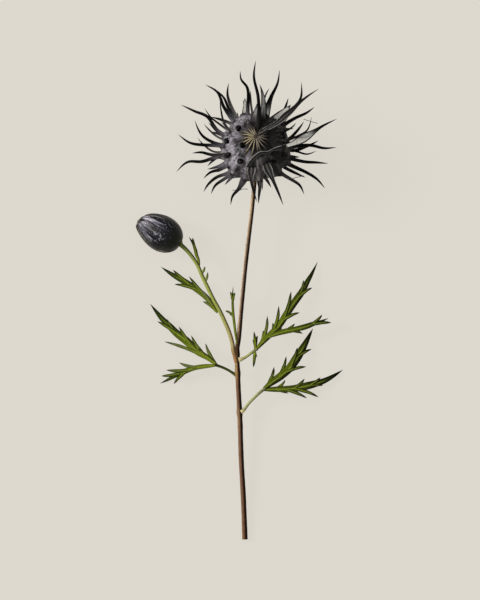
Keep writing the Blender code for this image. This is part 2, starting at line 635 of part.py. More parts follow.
def ray_star(finish):
    draw = random.Random(7)
    frame = APEX.to_track_quat("Z", "Y").to_matrix()
    height = HEAD_RADIUS + GAP + RAY_HALF_DEPTH
    roots = [*face_roots(), *high_roots()]

    def on_head(turn, distance):
        """A direction from the head's centre, by the turn about the pole and the way walked from it."""
        angle = distance / HEAD_RADIUS
        out = math.sin(angle)
        return frame @ Vector((out * math.cos(turn), out * math.sin(turn), math.cos(angle)))

    def clear(turn, distance):
        place = on_head(turn, distance) * HEAD_RADIUS
        return all((place - root).length > RAY_CLEAR for root in roots)

    def hub_profile(angle, turn):
        lobes = 1 + 0.1 * math.cos(5 * turn)
        return HUB_HALF_HEIGHT * math.cos(angle), HUB_RADIUS * math.sin(angle) * lobes

    def half_width(share):
        return RAY_HALF_WIDTH * (1 - RAY_NARROWING * share)

    def half_depth(share):
        return RAY_HALF_DEPTH

    hub_centre = HEAD_CENTRE + APEX * (height + HUB_LIFT)
    meshes = [turned("hub", hub_centre, APEX, hub_profile, HUB_SIDES, HUB_RINGS)]
    for i in range(RAYS):
        turn = math.tau * (i + draw.uniform(-RAY_SCATTER, RAY_SCATTER)) / RAYS
        longest = draw.uniform(*RAY_LENGTHS)
        reach = HUB_RADIUS + RAY_START
        while reach < longest and clear(turn, reach):
            reach += RAY_STEP
        if reach < RAY_LEAST:
            continue
        path = []
        for step in range(RAY_STATIONS + 1):
            distance = RAY_START + (reach - RAY_START) * step / RAY_STATIONS
            path.append(HEAD_CENTRE + on_head(turn + RAY_TURN * step, distance) * height)
        meshes.append(swept("ray", path, half_width, half_depth, APEX, BLADE_SIDES))
    grown_together("ray_star", meshes, finish)


def main():
    for thing in list(bpy.data.objects):
        bpy.data.objects.remove(thing)
    leaf_green = material("leaf_green", 66, 76, 34, 0.6)
    main_stem(material("stem_brown", 124, 100, 78, 0.55))
    side_stalk(material("stalk_green", 150, 146, 98, 0.5))
    bud(material("bud_black", 44, 44, 48, 0.45))
    seed_head(material("head_grey", 62, 60, 64, 0.6))
    ray_star(material("ray_tan", 150, 138, 112, 0.6))
    for name, fronds in LEAVES.items():
        leaf(name, fronds, leaf_green)


main()
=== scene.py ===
"""The looks of the nigella sprig: finer stems, bud, head, spines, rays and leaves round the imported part.

Sizes and places are in millimetres in the row's frame, and metres are made where vertices are. Colours
are sRGB triples from 0 to 255. Angles are in degrees, anticlockwise from +X.
"""

import math
import random

import bpy
import numpy as np
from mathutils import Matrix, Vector, noise


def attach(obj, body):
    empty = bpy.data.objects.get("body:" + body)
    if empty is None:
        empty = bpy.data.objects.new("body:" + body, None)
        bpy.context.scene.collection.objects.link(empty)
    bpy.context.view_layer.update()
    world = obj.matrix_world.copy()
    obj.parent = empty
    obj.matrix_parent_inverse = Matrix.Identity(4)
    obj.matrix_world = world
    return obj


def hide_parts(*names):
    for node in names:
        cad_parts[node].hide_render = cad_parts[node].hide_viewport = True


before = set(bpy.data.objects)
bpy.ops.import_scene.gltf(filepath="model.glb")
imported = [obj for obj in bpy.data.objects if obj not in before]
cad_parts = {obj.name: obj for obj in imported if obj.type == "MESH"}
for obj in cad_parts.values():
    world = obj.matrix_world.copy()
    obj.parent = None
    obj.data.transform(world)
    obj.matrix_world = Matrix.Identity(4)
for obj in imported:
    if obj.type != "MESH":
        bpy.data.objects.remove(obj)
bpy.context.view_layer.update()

MM = 0.001
UP = np.array([0.0, 0.0, 1.0])
FLOOR = 0.05  # least height of leaves and spines over the surface

# Main stem, with swellings as (y, rise) and colours as (y, colour)
STEM_RADIUS = 1.35
STEM_TOP_RADIUS = 1.1
STEM_CUT = (2.5, -119.5)
STEM_PLAN = [STEM_CUT, (1.75, -99.5), (0.65, -79.5), (0.0, -59.5), (-1.0, -39.5), (-1.5, -25.5),
             (-0.6, -18.0), (1.0, 0.5), (3.0, 20.5), (5.35, 40.5), (6.25, 49.0)]
STEM_RISE = 0.0766
STEM_NODES = [(-26.5, 0.35), (-36.0, 0.25), (-55.5, 0.3), (-63.0, 0.12)]
NODE_LENGTH = 1.8
STEM_TINTS = [(-120, (100, 70, 46)), (-85, (102, 72, 54)), (-66, (110, 80, 60)), (-58, (126, 99, 68)),
              (-53, (112, 82, 60)), (-42, (106, 75, 54)), (-37, (140, 110, 70)), (-28, (144, 116, 74)),
              (-22, (118, 88, 60)), (0, (108, 88, 72)), (30, (112, 92, 72)), (46, (170, 143, 108)),
              (60, (140, 114, 82))]
STEM_LIT = (204, 188, 168)
STEM_SHADED = (27, 12, 4)
# The cut face, fibre and then pith, as (step out of the stem, radius, colour)
CUT_FACE = [(0.0, 1.02, (170, 150, 118)), (0.02, 0.6, (120, 98, 72))]

# Side stalk
STALK_PLAN = [(-3.4, -24.6), (-3.9, -20.9), (-5.4, -15.7), (-7.6, -10.4), (-10.3, -4.6),
              (-13.5, 1.2), (-16.5, 7.5), (-19.1, 12.9), (-21.2, 17.8), (-24.0, 22.2), (-27.2, 25.9)]
STALK_RADIUS = 1.12
STALK_HEIGHTS = (10.2, 12.0, 8.7)
STALK_TEETH = [((-17.4, 9.6), (-16.1, 14.4)), ((-19.2, 13.6), (-17.5, 17.3))]
# Colours of the stalk from its root to the bud
STALK_LIT = [(150, 112, 68), (158, 150, 98), (140, 145, 64), (98, 112, 40)]
STALK_SHADED = [(96, 56, 34), (58, 66, 20), (30, 36, 12)]

# Bud
BUD_BASE = (-29.8, 28.4)
BUD_APEX = (-50.5, 40.5)
BUD_RADIUS = 9.1
BUD_HEIGHT = 8.3
BUD_SKEW, BUD_BLUNTNESS, BUD_TIP_BLUNTNESS = 0.87, 0.45, 0.12
BUD_TURN = 0.5  # share of a sepal that the seams are turned by
SEPALS = 6
# Of these, the bloom is partly painted light, pale and fleck are painted highlights, and side and crease are
# painted shade
BUD_TINTS = {"body": (15, 15, 20), "base": (20, 23, 11), "bloom": (122, 119, 132),
             "pale": (204, 201, 208), "fleck": (196, 194, 200), "side": (8, 8, 9),
             "line": (158, 148, 136), "seam": (130, 126, 114), "crease": (10, 9, 10),
             "tip": (40, 35, 34), "frayed": (212, 206, 192)}

# Seed head
HEAD = np.array([8.2, 76.0, 27.0])
HEAD_RADIUS = 16.5
APEX = Vector((-0.03, 0.316, 0.948)).normalized()
NECK = Vector((-0.05, -0.85, -0.52)).normalized()
NECK_LENGTH = 2.6
SPINE_ROOT = 0.8
# Kinds as (extra half width at the root, power that it fades by, half width of the rest, swelling,
# where along the spine it swells, depth as a share of the width)
SPINE_KINDS = {"spine": (0.9, 5, 0.78, 0.0, 0.3, 0.8), "fine": (0.4, 5, 0.5, 0.0, 0.3, 0.8),
               "broad": (1.9, 3, 0.7, 0.3, 0.3, 0.5), "bract": (0.3, 3, 0.75, 1.3, 0.3, 0.4),
               "lens": (0.3, 3, 0.75, 1.4, 0.46, 0.4), "strap": (0.3, 3, 0.75, 0.8, 0.48, 0.4),
               "sail": (2.0, 1, 0.45, 0.0, 0.3, 0.25), "web": (4.4, 1, 0.45, 0.0, 0.3, 0.14),
               "stub": (0.4, 5, 1.45, 0.0, 0.3, 1.0)}

# Spines round the rim: headings from root to tip, reach from above, lifts at both ends, kind and look,
# with the usual kind and look left out
RIM_SPINES = [
    ((88, 86, 88, 92, 90.5), 43.5, 54, 6),
    ((101, 97, 93, 90, 88), 23, 44, 34, "sail", "grey"),
    ((76, 78, 80, 83, 87), 31.5, 40, 22, "sail", "grey"),
    ((113, 110, 107, 104.5, 103), 25.7, 12, 8, "sail", "pale"),
    ((73, 74.5, 74, 72, 73.5), 40.5, 24, 8, "broad", "half"),
    ((45, 46, 47.5, 48.5, 56), 40, -16, -10, "spine", "ash"),
    ((84, 54, 47.5, 46, 43.5), 42.5, 62, 14, "strap", "edged"),
    ((41, 40, 38, 35.5, 35.5), 35.5, 6, -6),
    ((-1, 5.5, 12.5, 18, 20), 42.5, 44, 10, "lens", "pale"),
    ((12, 14, 16, 19, 29), 31, 30, 38, "fine"),
    ((2, 3.5, 3.5, 0.5, 1), 40, -8, -14),
    ((1, -1, -4, -6, -2), 30, -30, -22, "fine"),
    ((-17, -17, -16, -13.5, -12), 36.5, 20, 4),
    ((-26, -26, -25.5, -26.5, -30), 39.5, -4, -16),
    ((-47, -45, -42, -40.5, -44), 33, 10, -4, "spine", "ash"),
    ((-54, -61.5, -63, -64, -65), 31.3, 66, 14, "bract", "edged"),
    ((-84, -84.5, -85, -87, -88), 27.7, 30, 14, "broad", "edged"),
    ((-107, -104, -100, -94.5, -89.5), 26.8, 62, 28, "bract", "edged"),
    ((-75, -74, -73, -71, -70), 21, 36, 36, "broad", "edged"),
    ((-111, -112, -113.5, -116.5, -114.5), 31, 18, 2, "broad"),
    ((-133, -134, -136.5, -138, -135), 32, 16, -4),
    ((-136, -139, -144, -144, -141), 34, -14, -22),
    ((-146, -148, -149.5, -152, -150), 30.5, 26, 20),
    ((-151, -152.5, -154, -155.5, -157), 26.5, 2, -6, "broad"),
    ((-166, -167.5, -166.5, -169, -164), 41.5, -2, -12),
    ((-166, -168, -171, -175, -175), 32, 24, 30, "spine", "ash"),
    ((176, 176, 176.5, 175.5, 170), 39.5, 8, 4),
    ((187, 186, 184, 177, 169), 30, -26, -30, "fine", "ash"),
    ((177, 175.5, 172.5, 167, 156), 33.5, 30, 22),
    ((167, 165, 162.5, 158.5, 154.5), 29, -20, -26, "fine", "ash"),
    ((162, 160, 158.5, 155, 152), 27, 12, 20, "fine"),
    ((160, 156, 147.5, 149, 150), 43.5, 2, -4),
    ((148, 147, 146, 145, 141.5), 33, -30, -34, "fine"),
    ((131, 130.5, 128.5, 125, 129), 40.5, 22, 10),
    ((128, 127, 125, 122.5, 123.5), 35, -22, -26),
    ((123, 122.5, 121, 118.5, 113), 35.5, 0, -10, "spine", "ash"),
    ((110, 105, 101.5, 99, 98.8, 102.6, 102), 39, 16, 18),
    ((96, 96.5, 97, 96.5, 96), 29.5, -16, -26, "fine", "ash"),
    ((78, 79.5, 81, 80.5, 78), 31, -12, -22, "fine", "ash"),
    ((54, 53.5, 53, 52, 51.5), 27.5, 22, 14, "web", "pale"),
    ((33, 32, 30, 30, 32), 23, 28, 34, "fine"),
    ((150, 147, 142, 134, 127), 30, 34, 34, "fine", "ash"),
    ((-130, -131, -131, -131, -131), 24, -2, -8, "broad"),
]
FACE_SPINES = [(-8.8, 9.7), (-14.6, 3.5), (-6.9, 1.2), (-14.2, -3.6), (-8.0, -6.6), (13.2, 6.0),
               (8.4, -7.2), (13.6, -3.4)]
FACE_LENGTH = 5.0
FACE_LEAN = 0.9
UNDER_SPINES = 26
UNDER_LIFTS = (-28.0, -88.0)
UNDER_REACH = 34.0
GOLDEN_ANGLE = 137.508
NECK_CLEAR = 27.0

# Ribbons, the raised edges of bracts that cross the head: plan from the centre, half width and colour
RIBBONS = [
    ([(0.4, 6.0), (4.1, 7.9), (7.4, 10.1)], 0.55, (124, 120, 113)),
    ([(-4.7, -9.4), (-2.9, -6.7), (-0.6, -4.45), (2.0, -2.7), (5.6, -2.4), (8.3, -0.9)], 0.75,
     (146, 144, 139)),
    ([(8.2, -1.0), (9.6, -0.6), (12.3, 0.1), (15.3, 1.6)], 0.95, (138, 137, 133)),
    ([(0.2, 6.4), (0.5, 8.4), (0.9, 10.4), (1.2, 12.6)], 0.42, (26, 24, 23)),
    ([(-2.6, 11.0), (-3.6, 12.6), (-4.4, 14.2)], 0.22, (84, 80, 80)),
]
# Fine loose threads caught on spines, as points from the centre
THREADS = [
    [(-12.0, -20.9, 3.5), (-9.1, -21.0, 3.7), (-6.5, -20.3, 3.7), (-4.4, -20.4, 3.5)],
    [(23.2, 13.9, 22.5), (26.3, 12.9, 22.9), (30.2, 11.8, 22.6)],
    [(17.0, -15.4, 1.2), (20.0, -14.5, 1.0), (23.6, -13.7, 0.4)],
]
THREAD_RADIUS = 0.16

# Star of rays on the pole
RAYS = 20
RAY_STATIONS = 26
HUB_RADIUS = 1.15
HUB_HEIGHT = 0.5

# Leaves: fronds as (half width, plan, height of root, height of tip, lobes), and lobes as (share of the
# midrib, plan of the tip, greyness if any). A frond with no lobes is a petiole.
LOBE_HALF_WIDTHS = (0.42, 0.05, 0.85)  # least, growth with length and most
LOBE_BEND = 0.07
LEAVES = {
    "leaf_left": [
        (0.65, [(-1.2, -37.4), (-3.2, -36.3), (-5.9, -34.6), (-9.1, -33.1), (-12.6, -31.9)], 7.7, 7.9, []),
        (2.2, [(-11.6, -32.1), (-15.9, -28.6), (-21.4, -25.2), (-26.4, -20.4), (-31.7, -16.2), (-35.4, -12.5),
          (-38.6, -9.4), (-41.7, -5.7), (-45.1, -1.4)], 7.9, 0.6,
         [(0.04, (-17.3, -21.2), 0.6), (0.18, (-24.5, -17.2), 0.3), (0.37, (-30.6, -12.8)),
          (0.62, (-36.7, -9.0)), (0.58, (-41.4, -10.2)), (0.21, (-37.9, -20.3), 0.6)]),
        (1.5, [(-11.6, -32.2), (-18.6, -32.8), (-23.8, -33.8), (-28.0, -35.4), (-32.2, -37.3), (-36.4, -39.6),
          (-40.2, -41.4)], 7.8, 0.6,
         [(0.36, (-30.4, -30.9), 0.8), (0.5, (-37.0, -34.6), 0.4), (0.64, (-39.4, -37.6), 0.2),
          (0.52, (-33.2, -41.6))]),
    ],
    "leaf_of_stalk": [
        (1.8, [(-11.2, -5.8), (-12.75, -3.9), (-14.6, -0.9), (-16.5, 1.4), (-18.6, 3.4), (-21.7, 5.8),
          (-24.9, 8.0), (-29.1, 10.5), (-34.0, 13.3), (-39.8, 17.2)], 11.0, 2.0,
         [(0.54, (-33.6, 15.6)), (0.44, (-32.8, 8.4), 0.1), (0.28, (-25.5, 12.3), 0.2),
          (0.12, (-19.8, 6.2), 0.8), (0.08, (-18.6, -0.2), 0.6)]),
    ],
    "leaflet_by_bud": [
        (0.95, [(-20.5, 16.6), (-20.5, 18.8), (-20.9, 21.0), (-21.7, 22.9), (-22.4, 25.9), (-23.6, 28.9),
          (-25.6, 32.2)], 10.2, 11.0, [(0.66, (-23.7, 31.7))]),
    ],
    "leaf_in_axil": [
        (0.8, [(-1.5, -21.5), (-1.8, -19.6), (-2.7, -12.6), (-3.3, -7.3), (-3.6, -3.0), (-3.7, 2.2),
          (-3.4, 7.6)], 10.7, 9.9,
         [(0.78, (-4.9, 4.7)), (0.76, (-2.4, 4.3)), (0.5, (-7.4, -4.9), 0.2)]),
    ],
    "leaf_right_upper": [
        (0.7, [(-0.7, -29.4), (0.7, -29.1), (2.9, -28.0), (5.4, -26.2), (8.6, -23.9)], 8.2, 9.6, []),
        (2.1, [(7.6, -24.6), (11.4, -20.5), (15.0, -16.9), (19.3, -12.6), (22.9, -7.2), (26.5, -1.7),
          (30.8, 4.3), (33.8, 9.8), (36.2, 14.0), (39.0, 19.8)], 9.6, 0.6,
         [(0.11, (13.7, -7.5), 0.4), (0.09, (11.6, -14.6), 0.2), (0.25, (19.4, -2.4), 0.1),
          (0.23, (16.3, -10.9)), (0.42, (25.6, 4.9), 0.2), (0.68, (31.8, 10.5), 0.5),
          (0.38, (29.9, -5.8)), (0.64, (36.2, 6.7))]),
        (1.65, [(14.2, -18.2), (18.7, -16.3), (22.9, -15.1), (27.8, -14.1), (32.6, -12.9), (36.8, -11.4),
          (40.5, -10.2), (44.4, -8.6)], 9.4, 7.2,
         [(0.29, (27.5, -11.3)), (0.14, (21.1, -13.4)), (0.37, (31.4, -16.3), 0.1),
          (0.74, (41.2, -6.8)), (0.76, (45.7, -10.8))]),
        (1.0, [(7.7, -25.4), (7.6, -20.5), (7.0, -15.2)], 9.5, 9.8,
         [(0.3, (6.3, -19.5), 0.3), (0.3, (8.8, -17.2), 0.3)]),
        (0.9, [(7.4, -24.0), (7.2, -29.0), (6.7, -33.3)], 9.4, 8.6, [(0.2, (8.6, -28.0), 0.4)]),
    ],
    "leaf_right_lower": [
        (0.7, [(0.4, -55.6), (2.1, -54.3), (4.4, -51.3), (6.7, -48.9), (9.6, -46.1), (12.8, -43.6)],
         6.1, 6.8, []),
        (2.5, [(11.9, -44.0), (16.3, -40.5), (20.5, -37.5), (24.7, -33.8), (27.8, -29.6), (30.8, -24.7),
          (33.8, -19.3), (36.6, -13.7)], 6.8, 0.6,
         [(0.08, (17.1, -33.0), 0.1), (0.25, (23.2, -27.7)), (0.46, (28.7, -23.3)),
          (0.36, (33.2, -32.9), 0.1), (0.6, (35.9, -24.1))]),
        (2.1, [(11.9, -44.4), (17.5, -44.2), (22.3, -44.1), (27.2, -43.8), (32.0, -42.9), (36.8, -41.7),
          (41.7, -40.2), (46.5, -37.8), (51.7, -34.5)], 6.7, 0.6,
         [(0.16, (22.7, -39.5), 0.2), (0.37, (32.4, -38.9)), (0.57, (40.4, -38.3)),
          (0.14, (24.2, -46.3)), (0.26, (33.6, -48.7), 0.2), (0.38, (39.4, -48.2)),
          (0.56, (41.6, -42.3))]),
    ],
}
LEAF_HALF_DEPTH = 0.36
BLADE_COLUMNS = 11
RIB_HALF_WIDTH = 0.26
RIB_HEIGHT = 0.13
FOLD_RISE = 0.2
LAMINA = (84, 96, 16)
LAMINA_DARK = (26, 38, 4)
MIDRIB = (134, 146, 50)
VEIN = (100, 112, 30)
GREY_LEAF = (118, 120, 96)
LEAF_TIP = (26, 30, 8)
# Colour of the petiole and of its root, and how far the root bulges out of the stem
PETIOLES = {"leaf_left": ((58, 68, 20), (92, 84, 40), 0.0),
            "leaf_right_upper": ((154, 154, 100), (206, 194, 142), 0.95),
            "leaf_right_lower": ((158, 162, 108), (206, 194, 142), 0.95)}

# How dark the shaded parts of a leaf go; leaves that aren't named keep their shade
LEAF_SHADE = {"leaf_right_lower": 0.42, "leaf_right_upper": 0.68, "leaflet_by_bud": 0.55}
SHADED_LEVELS = (35, 95)  # mean colour that is shaded fully, and that keeps its shade

# Colours of the head, the spines and the rays
# The pale side of the head is partly a bloom and partly painted light, with a painted highlight on its
# ridges; SHADE is the painted shade of the other side
BLOOM = (106, 102, 108)
BLOOM_LIGHT = (154, 149, 156)
SHADE = (27, 26, 25)
SPINE_DARK = (6, 6, 6)
SPINE_TIP = (18, 15, 13)
SPINE_SHEEN = (52, 51, 50)
MEMBRANE = (190, 188, 180)
GREY_MEMBRANE = (172, 172, 168)
ASH = (84, 82, 78)
GLINT = (120, 117, 120)
LENS_MEMBRANE = (172, 171, 164)
BRACT_INSIDE = (30, 29, 29)
BRACT_RIM = (158, 155, 149)
BRACT_MIDDLE = (88, 86, 82)
RIBBON_EDGE = (16, 15, 15)
THREAD = (96, 90, 84)
NECK_TINTS = ((92, 84, 62), (58, 54, 48))
# Tints laid on the head: painted shade towards the rim, deep in hollows, round each spine root and between
# folds, painted highlights on ridges, and pale collars, partly painted light, shown on the lit side only
HEAD_TINTS = {"rim": (48, 46, 49), "black": (8, 8, 8), "ridge": (112, 110, 106),
              "collar": (146, 142, 146), "crease": (34, 31, 35), "pit": (16, 13, 17),
              "hollow": (30, 29, 31), "strand": (124, 121, 118), "between": (24, 22, 22)}
# Tints for the shaded and for the lit side of the head: painted shade and painted light
LINE_TINTS = ((96, 95, 92), (186, 182, 188))
POLE_TINTS = ((14, 12, 12), (44, 38, 40))
RAY_INNER = ((118, 109, 98), (158, 146, 114))
RAY_OUTER = ((40, 36, 33), (92, 82, 66))
RAY_EDGE = (22, 19, 16)
HUB = (58, 50, 41)

# Floor, lights and camera
PAPER = (222, 217, 207)
PAPER_GLOW = (221, 216, 206)
GLOW_SHARE = 0.92
SKY = (1.0, 0.99, 0.97, 1.0)
SKY_STRENGTH = 0.34
# Suns as name, direction to them, strength, width in degrees and colour
SUNS = [("key", (-0.85, 0.22, 0.62), 2.7, 20, (1.0, 0.98, 0.95)),
        ("top", (-0.15, 0.35, 0.95), 0.8, 60, (1.0, 1.0, 1.0))]
# The picture is 0.3 m high at the level of true scale, in metres like the rest of the camera
LENS = 400.0
SENSOR = 36.0
PICTURE_HEIGHT = 0.3
TRUE_LEVEL = 0.012
CAMERA_Y = 0.0005


def linear(triple):
    """An sRGB triple as linear light."""
    part = np.asarray(triple, float) / 255
    return np.where(part <= 0.04045, part / 12.92, ((part + 0.055) / 1.055) ** 2.4)


def mix(a, b, share):
    """Between two colours, or arrays of them, by a share for each vertex."""
    share = np.clip(np.asarray(share, float), 0, 1)[..., None]
    return np.asarray(a, float) * (1 - share) + np.asarray(b, float) * share


def painted(colour, tints, **shares):
    """A colour with tints laid over it in turn, each by its share for each vertex."""
    for name, share in shares.items():
        colour = mix(colour, tints[name], share)
    return colour


def ramp(value, low, high):
    """0 below low, 1 above high and smooth between."""
    t = np.clip((np.asarray(value, float) - low) / (high - low), 0, 1)
    return t * t * (3 - 2 * t)


def peak(distance, width, power=2):
    """1 at no distance, and falling off over a width."""
    return np.exp(-((distance / width) ** power))


def unit(vectors):
    return vectors / np.linalg.norm(vectors, axis=-1, keepdims=True)


def around(turn, radius, height):
    """Points round the Z axis."""
    return np.stack([radius * np.cos(turn), radius * np.sin(turn), height], axis=-1)


def ball(rows, sides):
    """The angle from the pole, from the far side on, and the turn of each vertex of a ball."""
    turn = np.ones(rows)[:, None] * np.linspace(0, math.tau, sides, endpoint=False)
    return np.linspace(math.pi, 0.0, rows)[:, None] * np.ones(sides), turn


def turn_to(axis):
    """The matrix that turns the Z axis to another one."""
    return np.array(axis.to_track_quat("Z", "Y").to_matrix())


def between(a, b, c, d, t):
    """The smooth curve from b to c, with a before them and d after."""
    bend = (2 * a - 5 * b + 4 * c - d) * t**2 + (3 * b - a - 3 * c + d) * t**3
    return b + ((c - a) * t + bend) / 2


def smooth(points, stations):
    """Evenly spaced stations on one smooth curve through the points."""
    points = np.array(points, float)
    ends = np.vstack([2 * points[0] - points[1], points, 2 * points[-1] - points[-2]])
    t = np.linspace(0, 1, 16, endpoint=False)[:, None]
    parts = [between(*four, t) for four in zip(ends, ends[1:], ends[2:], ends[3:])]
    curve = np.vstack([*parts, points[-1:]])
    gone = gone_along(curve)
    at = np.linspace(0, gone[-1], stations)
    return np.stack([np.interp(at, gone, curve[:, k]) for k in range(points.shape[1])], axis=1)


def gone_along(path):
    """How far along a path each of its points is."""
    return np.concatenate([[0], np.cumsum(np.linalg.norm(np.diff(path, axis=0), axis=1))])


def length_of(path):
    return float(np.linalg.norm(np.diff(path, axis=0), axis=1).sum())


def rough_noise(points, size, octaves=3, seed=0.0):
    """Fractal noise at each point, about -1 to 1, with features of that size."""
    flat = np.asarray(points, float).reshape(-1, 3) / size + seed
    values = [noise.fractal(Vector(p), 1.0, 2.0, octaves) for p in flat]
    return np.array(values).reshape(np.asarray(points).shape[:-1])


def placed(name, data):
    """A new object in the scene."""
    made = bpy.data.objects.new(name, data)
    bpy.context.scene.collection.objects.link(made)
    return made


class Mesh:
    """Vertices, faces, colours and a grain (turn round it, way along it) that grow shape by shape."""

    def __init__(self):
        self.points, self.faces, self.tints, self.grains, self.count = [], [], [], [], 0

    def rings(self, points, tints, grains):
        """A closed surface over rings of vertices: points is (rings, sides, 3)."""
        rows, sides = points.shape[:2]
        index = np.arange(rows * sides).reshape(rows, sides) + self.count
        after = np.roll(index, -1, axis=1)
        quads = np.stack([index[:-1], after[:-1], after[1:], index[1:]], axis=-1).reshape(-1, 4)
        self.faces.extend(quads.tolist())
        tints = np.broadcast_to(tints, points.shape)
        kept = ((self.points, points), (self.tints, tints), (self.grains, grains))
        for values, added in kept:
            values.append(added.reshape(-1, 3))
        self.count += rows * sides
        for row, turned in ((0, True), (rows - 1, False)):
            for values, added in kept:
                values.append(added[row].mean(axis=0, keepdims=True))
            for k in range(sides):
                a, b = int(index[row, k]), int(after[row, k])
                self.faces.append((b, a, self.count) if turned else (a, b, self.count))
            self.count += 1

    def piece(self, name, node, finish):
        """The mesh as a piece of the scene, in the place of a node where one is given."""
        mesh = bpy.data.meshes.new(name)
        mesh.from_pydata((np.vstack(self.points) * MM).tolist(), [], self.faces)
        tints = np.hstack([linear(np.clip(np.vstack(self.tints), 0, 255)), np.ones((self.count, 1))])
        stored = mesh.color_attributes.new("tint", "FLOAT_COLOR", "POINT")
        stored.data.foreach_set("color", tints.astype(np.float32).ravel())
        stored = mesh.attributes.new("grain", "FLOAT_VECTOR", "POINT")
        stored.data.foreach_set("vector", np.vstack(self.grains).astype(np.float32).ravel())
        mesh.materials.append(finish)
        mesh.shade_smooth()
        made = placed(name, mesh)
        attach(made, "root")
        if node:
            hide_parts(node)


def frames(path, facing):
    """Across and out directions at each station of a path, for a flat side that looks along facing."""
    along = unit(np.gradient(path, axis=0))
    across = unit(np.cross(along, facing))
    return across, np.cross(across, along)


def tube(mesh, path, radius, tint, sides, facing=UP, depth=None):
    """A round or oval body.

    radius and depth are arrays over the stations, and tint is a colour or gives one from the share of
    the path, the turn and the point of each vertex.
    """
    across, out = frames(path, facing)
    depth = radius if depth is None else depth
    turn = np.linspace(0, math.tau, sides, endpoint=False)
    points = (path[:, None] + across[:, None] * (np.cos(turn) * radius[:, None])[..., None]
              + out[:, None] * (np.sin(turn) * depth[:, None])[..., None])
    share = np.linspace(0, 1, len(path))[:, None] * np.ones(sides)
    turns = np.ones(len(path))[:, None] * turn
    tints = tint(share, turns, points) if callable(tint) else np.array(tint, float)
    mesh.rings(points, tints, around(turns, 1, share * length_of(path)))


# Materials: each takes its colour from the vertices, broken up by procedural noise and streaks


def settle(node, **values):
    """Sets the inputs of a node, with underscores for the spaces in their names."""
    for name, value in values.items():
        node.inputs[name.replace("_", " ")].default_value = value


def finish_of(name, rough, mottle, mottle_size, streak, relief, relief_size, specular):
    made = bpy.data.materials.new(name)
    made.use_nodes = True
    nodes, links = made.node_tree.nodes, made.node_tree.links
    shader = nodes["Principled BSDF"]
    settle(shader, Specular_IOR_Level=specular)
    tint = nodes.new("ShaderNodeAttribute")
    tint.attribute_name = "tint"
    place = nodes.new("ShaderNodeTexCoord")
    colour = tint.outputs["Color"]

    def noise_of(vector, scale, detail):
        texture = nodes.new("ShaderNodeTexNoise")
        settle(texture, Scale=scale, Detail=detail, Roughness=0.6)
        links.new(vector, texture.inputs["Vector"])
        return texture.outputs["Fac"]

    def scaled(value, low, high):
        """The usual range of a noise, 0.3 to 0.7, stretched from low to high."""
        node = nodes.new("ShaderNodeMapRange")
        settle(node, From_Min=0.3, From_Max=0.7, To_Min=low, To_Max=high)
        links.new(value, node.inputs["Value"])
        return node.outputs["Result"]

    def times(base, factor):
        node = nodes.new("ShaderNodeVectorMath")
        node.operation = "SCALE"
        links.new(base, node.inputs["Vector"])
        links.new(factor, node.inputs["Scale"])
        return node.outputs["Vector"]

    spots = noise_of(place.outputs["Object"], 1 / (mottle_size * MM), 5)
    colour = times(colour, scaled(spots, 1 - mottle, 1 + mottle))
    grain = nodes.new("ShaderNodeAttribute")
    grain.attribute_name = "grain"
    stretched = nodes.new("ShaderNodeMapping")
    settle(stretched, Scale=(4.0, 4.0, 0.22))
    links.new(grain.outputs["Vector"], stretched.inputs["Vector"])
    streaks = noise_of(stretched.outputs["Vector"], 1.0, 3)
    colour = times(colour, scaled(streaks, 1 - streak, 1 + streak))
    links.new(colour, shader.inputs["Base Color"])
    links.new(scaled(spots, rough - 0.08, rough + 0.1), shader.inputs["Roughness"])
    bump = nodes.new("ShaderNodeBump")
    settle(bump, Strength=relief, Distance=0.25 * MM)
    links.new(noise_of(place.outputs["Object"], 1 / (relief_size * MM), 4), bump.inputs["Height"])
    links.new(bump.outputs["Normal"], shader.inputs["Normal"])
    return made


# Roughness, mottling and its size, streaks, relief and its size, and specular level
STEM_FINISH = finish_of("stem_looks", 0.55, 0.16, 2.2, 0.2, 0.3, 0.5, 0.08)
STALK_FINISH = finish_of("stalk_looks", 0.5, 0.12, 1.6, 0.12, 0.2, 0.4, 0.25)
BUD_FINISH = finish_of("bud_looks", 0.42, 0.3, 1.1, 0.26, 0.5, 0.5, 0.2)
HEAD_FINISH = finish_of("head_looks", 0.65, 0.2, 1.6, 0.1, 0.4, 0.7, 0.12)
SPINE_FINISH = finish_of("spine_looks", 0.55, 0.2, 1.2, 0.25, 0.3, 0.4, 0.04)
RAY_FINISH = finish_of("ray_looks", 0.6, 0.18, 0.8, 0.16, 0.3, 0.3, 0.15)
LEAF_FINISH = finish_of("leaf_looks", 0.62, 0.18, 1.1, 0.14, 0.3, 0.45, 0.05)


# Stems


def stem_path(stations):
    end = HEAD + np.array(NECK) * (HEAD_RADIUS + NECK_LENGTH - 0.6)
    rising = [(x, y, STEM_RADIUS + STEM_RISE * (y - STEM_CUT[1])) for x, y in STEM_PLAN]
    return smooth([*rising, tuple(end + np.array(NECK) * 3.9), tuple(end)], stations)


STEM = stem_path(420)


def stem_point(y):
    return STEM[np.argmin(abs(STEM[:, 1] - y))]


